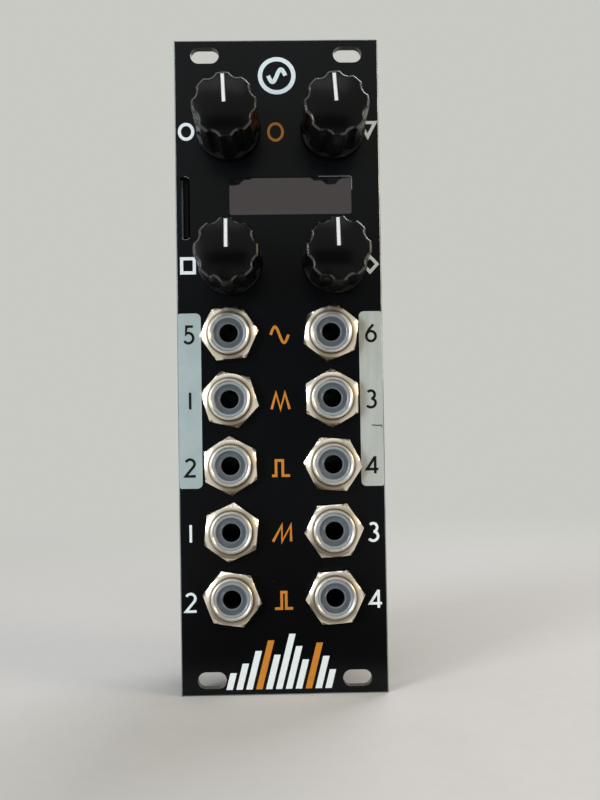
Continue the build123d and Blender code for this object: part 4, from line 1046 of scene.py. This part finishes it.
def bar(side):
    """Outline of a side bar, side is -1 for the left one."""
    near, far = bar_reach
    low, high = bar_span
    inner, outer = bar_round, bar_outer_round
    outline = arc(near + inner, low + inner, inner, inner, 270, 180, 8)
    outline += arc(near + inner, high - inner, inner, inner, 180, 90, 8)
    outline += arc(far - outer, high - outer, outer, outer, 90, 0, 6)
    outline += arc(far - outer, low + outer, outer, outer, 0, -90, 6)
    outline = [(side * x, z) for x, z in outline]
    return [[outline if side < 0 else outline[::-1]]]


film("bar_left", bar(-1), bar_left, panel_face, "chassis")
film("bar_right_painted_reflection", bar(1), bar_right_painted_reflection, panel_face, "chassis")
scratch = [
    pen([(17.7, -12.15), (18.9, -12.25), (19.6, -12.2)], scratch_width),
    pen([(19.6, -12.15), (19.75, -12.65)], nick_width),
]
film("bar_scratch", scratch, black_ink, ink_top, "chassis")
print("bars", round(bar_span[1] - bar_span[0], 2), "mm high")

# %% [markdown]
# ### The numbers
# Plain numbers stand beside the jacks: black on the bars, white below them. They are drawn as
# centre lines in a box one unit high, which a loop then scales and places. A font object would
# be quicker, but the fonts that come with Blender have other shapes.

# %% Number centre lines
numbers = {
    "1": [([(0, 0), (0, 1)], False)],
    "2": [(arc(-0.02, 0.735, 0.265, 0.265, 155, -38) + [(-0.29, 0), (0.31, 0)], False)],
    "3": [
        (arc(-0.05, 0.76, 0.23, 0.24, 140, -82), False),
        (arc(-0.06, 0.265, 0.285, 0.265, 84, -145), False),
    ],
    "4": [([(0.34, 0.26), (-0.34, 0.26), (0.15, 1.0)], False), ([(0.15, 1.03), (0.15, 0)], False)],
    "5": [([(0.22, 1), (-0.17, 1), (-0.2, 0.56)] + arc(-0.06, 0.31, 0.29, 0.31, 112, -148), False)],
    "6": [
        (arc(0, 0.3, 0.28, 0.3, 0, 351, 24), True),
        ([(0.15, 1.0), (-0.1, 0.72), (-0.24, 0.45), (-0.28, 0.3)], False),
    ],
}
black_numbers = [("5", -17.75, 6.0), ("1", -17.75, -6.95), ("2", -17.85, -20.0)]
black_numbers += [("6", 17.85, 5.95), ("3", 17.8, -7.05), ("4", 17.75, -20.0)]
white_numbers = [("1", -17.95, -32.8), ("2", -18.05, -46.15), ("3", 17.8, -33.05), ("4", 17.95, -46.1)]
for name, places, height, width, ink_used, face in (
    ("numbers_on_bars", black_numbers, 3.8, 0.52, black_ink, ink_top),
    ("numbers_white", white_numbers, 3.9, 0.5, white_ink, panel_face),
):
    tall = height - width
    marks = [(x, z - tall / 2, numbers[text]) for text, x, z in places]
    film(name, drawn(marks, tall, width), ink_used, face, "chassis")
    print(name, len(places))

# %% [markdown]
# ### The signs between the columns
# Between the columns stand plain wave signs in amber: a ring, a sine, a triangle wave, a square
# wave, a ramp and a pulse. Beside the knobs stand four plain white signs. Each is a pen line in
# a box about two units wide, so the numbers' helper draws them all. Curve objects with a bevel
# would draw them too, but they would have to be turned into flat films afterwards.

# %% Signs
sine = [(step / 10 - 1, 0.9 * math.sin(step / 10 * math.pi)) for step in range(21)]
triangles = [(-1, -0.9), (-0.5, 0.9), (0, -0.9), (0.5, 0.9), (1, -0.9)]
square = [(-1, -0.85), (-0.55, -0.85), (-0.55, 0.85), (0.2, 0.85), (0.2, -0.85), (1, -0.85)]
ramps = [(-1, -0.85), (0, 0.95), (0, -0.85), (1, 0.95), (1, -0.85)]
pulse = [(-1, -0.85), (-0.25, -0.85), (-0.25, 0.95), (0.25, 0.95), (0.25, -0.85), (1, -0.85)]
waves = [
    (-0.3, 45.9, [(ellipse(0, 0, 0.8, 0.95, 24), True)]),
    (-0.1, 5.8, [(sine, False)]),
    (-0.1, -7.2, [(triangles, False)]),
    (-0.2, -20.3, [(square, False)]),
    (-0.2, -33.1, [(ramps, False)]),
    (0.0, -46.1, [(pulse, False)]),
]
signs = [
    (-17.9, 46.1, [(ellipse(0, 0, 0.85, 0.95, 24), True)]),
    (17.9, 46.2, [([(-0.95, 0.9), (0.95, 0.9), (0, -0.9)], True)]),
    (-17.85, 19.6, [([(-0.8, -0.9), (0.8, -0.9), (0.8, 0.9), (-0.8, 0.9)], True)]),
    (17.9, 19.5, [([(0, -1), (0.9, 0), (0, 1), (-0.9, 0)], True)]),
]
wave_size, wave_pen = 1.75, 0.52
sign_size, sign_pen = 1.55, 0.62
film("signs_amber", drawn(waves, wave_size, wave_pen), amber_ink, panel_face, "chassis")
film("signs_white", drawn(signs, sign_size, sign_pen), white_ink, panel_face, "chassis")
print(len(waves) + len(signs), "signs")

# %% [markdown]
# ### The larger marks
# At the top stands the circuit sign for a wave source, a ring round a sine, in the pale ink, and
# at the foot a row of slanted level bars in white with two in amber. Both are plain shapes of the
# weight that such a panel's print has there. The ring and the sine are drawn with the same pen
# and film as the signs. A level bar could be a pen line too, but its ends are cut level, so its
# four corners are written out.

# %% Top and foot marks
source_middle = (0.1, 57.1)
source_ring, ring_pen = 3.3, 0.85
swing_half, swing_rise, swing_pen = 1.7, 1.25, 0.8
turns = [step / 12 for step in range(-12, 13)]
wave = [(turn * swing_half, swing_rise * math.sin(turn * math.pi)) for turn in turns]
source = [pen(ellipse(0, 0, source_ring, source_ring, 45), ring_pen, True), pen(wave, swing_pen)]
film("mark_top", [moved(line, *source_middle) for line in source], grey_ink, panel_face, "chassis")

levels = [3.2, 5.0, 7.4, 9.4, 6.6, 10.6, 8.2, 5.6, 8.8, 6.2, 3.6]
lean = 0.26
bar_width, bar_pitch = 1.25, 1.92
foot_x, foot_z = -1.2, -63.1


def level_bar(index):
    """One slanted bar of the foot mark."""
    left = (index - (len(levels) - 1) / 2) * bar_pitch - bar_width / 2 + foot_x
    top = levels[index]
    return [[
        (left, foot_z), (left + bar_width, foot_z),
        (left + bar_width + lean * top, foot_z + top), (left + lean * top, foot_z + top),
    ]]


amber_bars = (3, 8)
white_bars = [level_bar(index) for index in range(len(levels)) if index not in amber_bars]
film("mark_foot_white", white_bars, white_ink, panel_face, "chassis")
film("mark_foot_amber", [level_bar(index) for index in amber_bars], amber_ink, panel_face, "chassis")
print("foot mark", round(len(levels) * bar_pitch, 1), "mm wide")

# %% [markdown]
# ### Edge glints
# The photograph shows glints on the edges: a bright hairline round the upper right corner of the
# window, and a short one at each end of the card slot. They are painted highlights. The panel's
# material could colour them by distance, as it does at the outer edge, but the window's corner is
# rounded. So they are drawn as films too, 0.12 and 0.06 mm wide, in bare aluminium.

# %% Bare hairlines
# Bare aluminium as a painted edge highlight: cool white, without the streaks of sheet.
painted_glint_aluminium = rolled("bare aluminium at a worn edge", "#9AA1A6", "#C3C9CD", 0.2, (1, 1, 1), Roughness=0.32)
hair = 0.12
hair_bend = 0.5
hair_start_x, hair_end_z = 8.0, 34.3
slot_x, slot_top, slot_foot = -18.25, 37.174, 24.774
slot_end, slot_hair = 0.9, 0.94
corner_x = window_middle[0] + window_size[0] / 2 + hair / 2
corner_z = window_middle[1] + window_size[1] / 2 + hair / 2
window_hair = [(hair_start_x, corner_z), (corner_x - hair_bend, corner_z)]
window_hair += arc(corner_x - hair_bend, corner_z - hair_bend, hair_bend, hair_bend, 80, 10, 6)
window_hair += [(corner_x, corner_z - hair_bend), (corner_x, hair_end_z)]
hairs = [
    pen(window_hair, hair),
    pen(arc(slot_x, slot_top - slot_end, slot_hair, slot_hair, 100, 35, 8), hair / 2),
    pen(arc(slot_x, slot_foot + slot_end, slot_hair, slot_hair, 215, 325, 10), hair / 2),
]
film("painted_edge_glints", hairs, painted_glint_aluminium, panel_face, "chassis")
print(len(hairs), "hairlines")

# %% [markdown]
# ## Solder
# Behind the panel every pin that passes through a board ends in a small cone of solder. Solder
# wets the pin and the pad, so the cone's side curves inwards. The cones could be placed from a
# list of numbers, but then they would stay behind if the pins ever moved. So they are placed by
# looking where the frame's own pins stick out of a board. For that, a function finds the
# separate solids of a node.


# %% Separate solids of a node
def islands(name):
    """Corner points of each separate solid in a node."""
    mesh = nodes[name].data
    spots = [tuple(round(part / MM, 4) for part in vertex.co) for vertex in mesh.vertices]
    parent = {spot: spot for spot in spots}

    def root(spot):
        while parent[spot] != spot:
            parent[spot] = parent[parent[spot]]
            spot = parent[spot]
        return spot

    for edge in mesh.edges:
        first, second = [root(spots[index]) for index in edge.vertices]
        parent[first] = second
    groups = {}
    for spot in parent:
        groups.setdefault(root(spot), []).append(Vector(spot) * MM)
    return list(groups.values())


def span(points):
    """Lowest and highest corner of some points."""
    low = Vector([min(point[axis] for point in points) for axis in range(3)])
    high = Vector([max(point[axis] for point in points) for axis in range(3)])
    return low, high


def spans(name):
    """Lowest and highest corner of each separate solid in a node."""
    return [span(points) for points in islands(name)]


print(len(spans("control_pins")), "control pins")

# %% [markdown]
# Each cone is a ring of corners that is drawn in along a short profile. A lathe or screw modifier
# would turn the same profile, but one loop can add all the cones of a board to one mesh.

# %% Solder cones
# Reflowed solder: bright and smooth, slightly cloudier than dipped tin.
solder = rolled("reflowed solder", "#B9BBBA", "#DADCDA", 0.5, (1, 1, 1), Roughness=0.2)
cone_profile = [(1.0, 0.0), (0.74, 0.14), (0.5, 0.42), (0.34, 0.8), (0.26, 1.0)]    # radius, height shares
cone_corners = 14
cone_brim, cone_height = 0.42 * MM, 0.75 * MM
least_stub, most_stub = 0.2 * MM, 2.0 * MM      # how far a soldered pin sticks out of its board
pin_nodes = [
    "control_pins", "jack_sleeve_springs", "jack_switch_contacts", "jack_tip_springs",
    "card_pins", "board_pins", "rear_pins",
]
pins = [points for name in pin_nodes for points in islands(name)]


def cone(mesh, x, y, z, out, radius, height):
    """Adds one concave cone of solder, closed at both ends."""
    rings = []
    for share, rise in cone_profile:
        ring = []
        for step in range(cone_corners):
            angle = 2 * math.pi * step / cone_corners
            sideways = share * radius * math.cos(angle)
            upwards = share * radius * math.sin(angle)
            ring.append(mesh.verts.new((x + sideways, y + out * rise * height, z + upwards)))
        rings.append(ring)
    for lower, upper in zip(rings, rings[1:]):
        for step in range(cone_corners):
            after = (step + 1) % cone_corners
            mesh.faces.new((lower[step], lower[after], upper[after], upper[step]))
    mesh.faces.new(rings[0])
    mesh.faces.new(rings[-1])


solder_faces = {}
for board in ("main_board", "rear_board"):
    board_low, board_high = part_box(board)
    solder_faces[board + "_front"] = (board_low.y, -1)
    solder_faces[board + "_rear"] = (board_high.y, 1)
for name, (level, out) in solder_faces.items():
    mesh = bmesh.new()
    count = 0
    for points in pins:
        beyond = [point for point in points if out * (point.y - level) > least_stub]
        behind = [point for point in points if out * (point.y - level) < -least_stub]
        if not beyond or not behind or max(out * (point.y - level) for point in beyond) > most_stub:
            continue
        low, high = span(beyond)
        middle = (low + high) / 2
        radius = max(high.x - low.x, high.z - low.z) / 2 + cone_brim
        cone(mesh, middle.x, level, middle.z, out, radius, cone_height)
        count += 1
    if count:
        bmesh.ops.recalc_face_normals(mesh, faces=mesh.faces)
        for face in mesh.faces:
            face.smooth = True
        piece = put("solder_" + name, mesh, solder)
        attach(piece, "chassis")

# %% [markdown]
# ## Marks on the boards and chips
# The boards carry white outlines round their chips, headers and cans, with a dot at the first
# pin. Their corners could be listed, but then they would stay behind if a part moved. So all of
# it is placed by the boxes of the frame's own solids, and drawn by the same pen.

# %% Board print
# Board print: thin white epoxy ink, greyer than paper.
board_ink = ink("white board print", "#B9BCBA", "#D2D5D2", 0.6)
print_pen = 0.16
print_gap, processor_gap = 0.35, 1.9
dot_radius, dot_aside, dot_above = 0.22, 0.45, 0.1
least_outlined = 2 * MM


def outline(low, high, gap, width):
    """Closed outline round a box, in the coordinates of a face seen from behind, with a dot."""
    left, right = -high.x / MM - gap, -low.x / MM + gap
    bottom, top = low.z / MM - gap, high.z / MM + gap
    ring = pen([(left, bottom), (right, bottom), (right, top), (left, top)], width, True)
    dot = [ellipse(left - dot_aside, top + dot_above, dot_radius, dot_radius, 18)]
    return [ring, dot]


outlined = {
    "main": ("amplifiers", "board_sockets"),
    "rear": (
        "processor", "converter", "memory_chip", "crystal", "power_header", "regulators",
        "capacitor_bases",
    ),
}
for board, parts in outlined.items():
    shapes = []
    for name in parts:
        gap = processor_gap if name == "processor" else print_gap
        for low, high in spans(name):
            if high.x - low.x > least_outlined:
                shapes += outline(low, high, gap, print_pen)
    rear = face_at(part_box(board + "_board")[1].y, -1)
    film("print_" + board + "_board", shapes, board_ink, rear, "chassis")
    print(board, "board,", len(shapes) // 2, "outlines")

# %% [markdown]
# A chip's first pin is marked by a round dimple in its top, which is smoother than the rest of the
# epoxy, and an aluminium can has a black printed segment over its minus lead. A real dimple is
# sunk, which would mean cutting the solid. At 0.7 mm across, a film with the dimple's gloss reads
# the same.

# %% Chip dimples and can segments
# Polished epoxy in a dimple: a small shiny spot, a shade paler than the chip.
dimple_ink = ink("polished dimple in epoxy", "#2C2D30", "#38393C", 0.25)
dimple_radius = 0.36
dimple_inset = (0.16, 0.2)      # share of the chip's shorter side, and mm more
segment_share = 0.86            # of the can's radius
segment_from, segment_to = 125, 235
for name in ("processor", "converter", "memory_chip", "amplifiers", "regulators"):
    shapes = []
    for low, high in spans(name):
        inset = dimple_inset[0] * min(high.x - low.x, high.z - low.z) / MM + dimple_inset[1]
        middle_x, middle_z = -high.x / MM + inset, high.z / MM - inset
        shapes.append([ellipse(middle_x, middle_z, dimple_radius, dimple_radius, 24)])
    film("dimple_" + name, shapes, dimple_ink, face_at(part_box(name)[1].y, -1), "chassis")
segments = []
for low, high in spans("capacitor_cans"):
    middle = (low + high) / 2
    reach = (high.x - low.x) / 2 / MM * segment_share
    segments.append([arc(-middle.x / MM, middle.z / MM, reach, reach, segment_from, segment_to, 18)])
film("can_segments", segments, black_ink, face_at(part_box("capacitor_cans")[1].y, -1), "chassis")
print(len(segments), "cans marked")

# %% [markdown]
# The chip resistors and capacitors are tinned at both ends, where they are soldered down. A
# colour band in their material would be lost on such small solids, so each end gets a thin cap
# that stands 0.02 mm proud of the frame's own solid.

# %% End caps of the small parts
caps = bmesh.new()
cap_share = 0.22
cap_proud = 0.02
for name in ("chip_resistors", "chip_capacitors"):
    for low, high in spans(name):
        axis = 0 if high.x - low.x > high.z - low.z else 2
        long_side = high[axis] - low[axis]
        for end in (0, 1):
            start, stop = low.copy(), high.copy()
            if end:
                start[axis] = high[axis] - cap_share * long_side
            else:
                stop[axis] = low[axis] + cap_share * long_side
            start -= Vector((cap_proud, 0, cap_proud)) * MM
            stop += Vector((cap_proud, cap_proud, cap_proud)) * MM
            for vertex in bmesh.ops.create_cube(caps, size=1.0)["verts"]:
                vertex.co = [start[i] + (vertex.co[i] + 0.5) * (stop[i] - start[i]) for i in range(3)]
piece = put("small_part_caps", caps, tin)
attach(piece, "chassis")
print(len(piece.data.polygons) // 6, "caps")
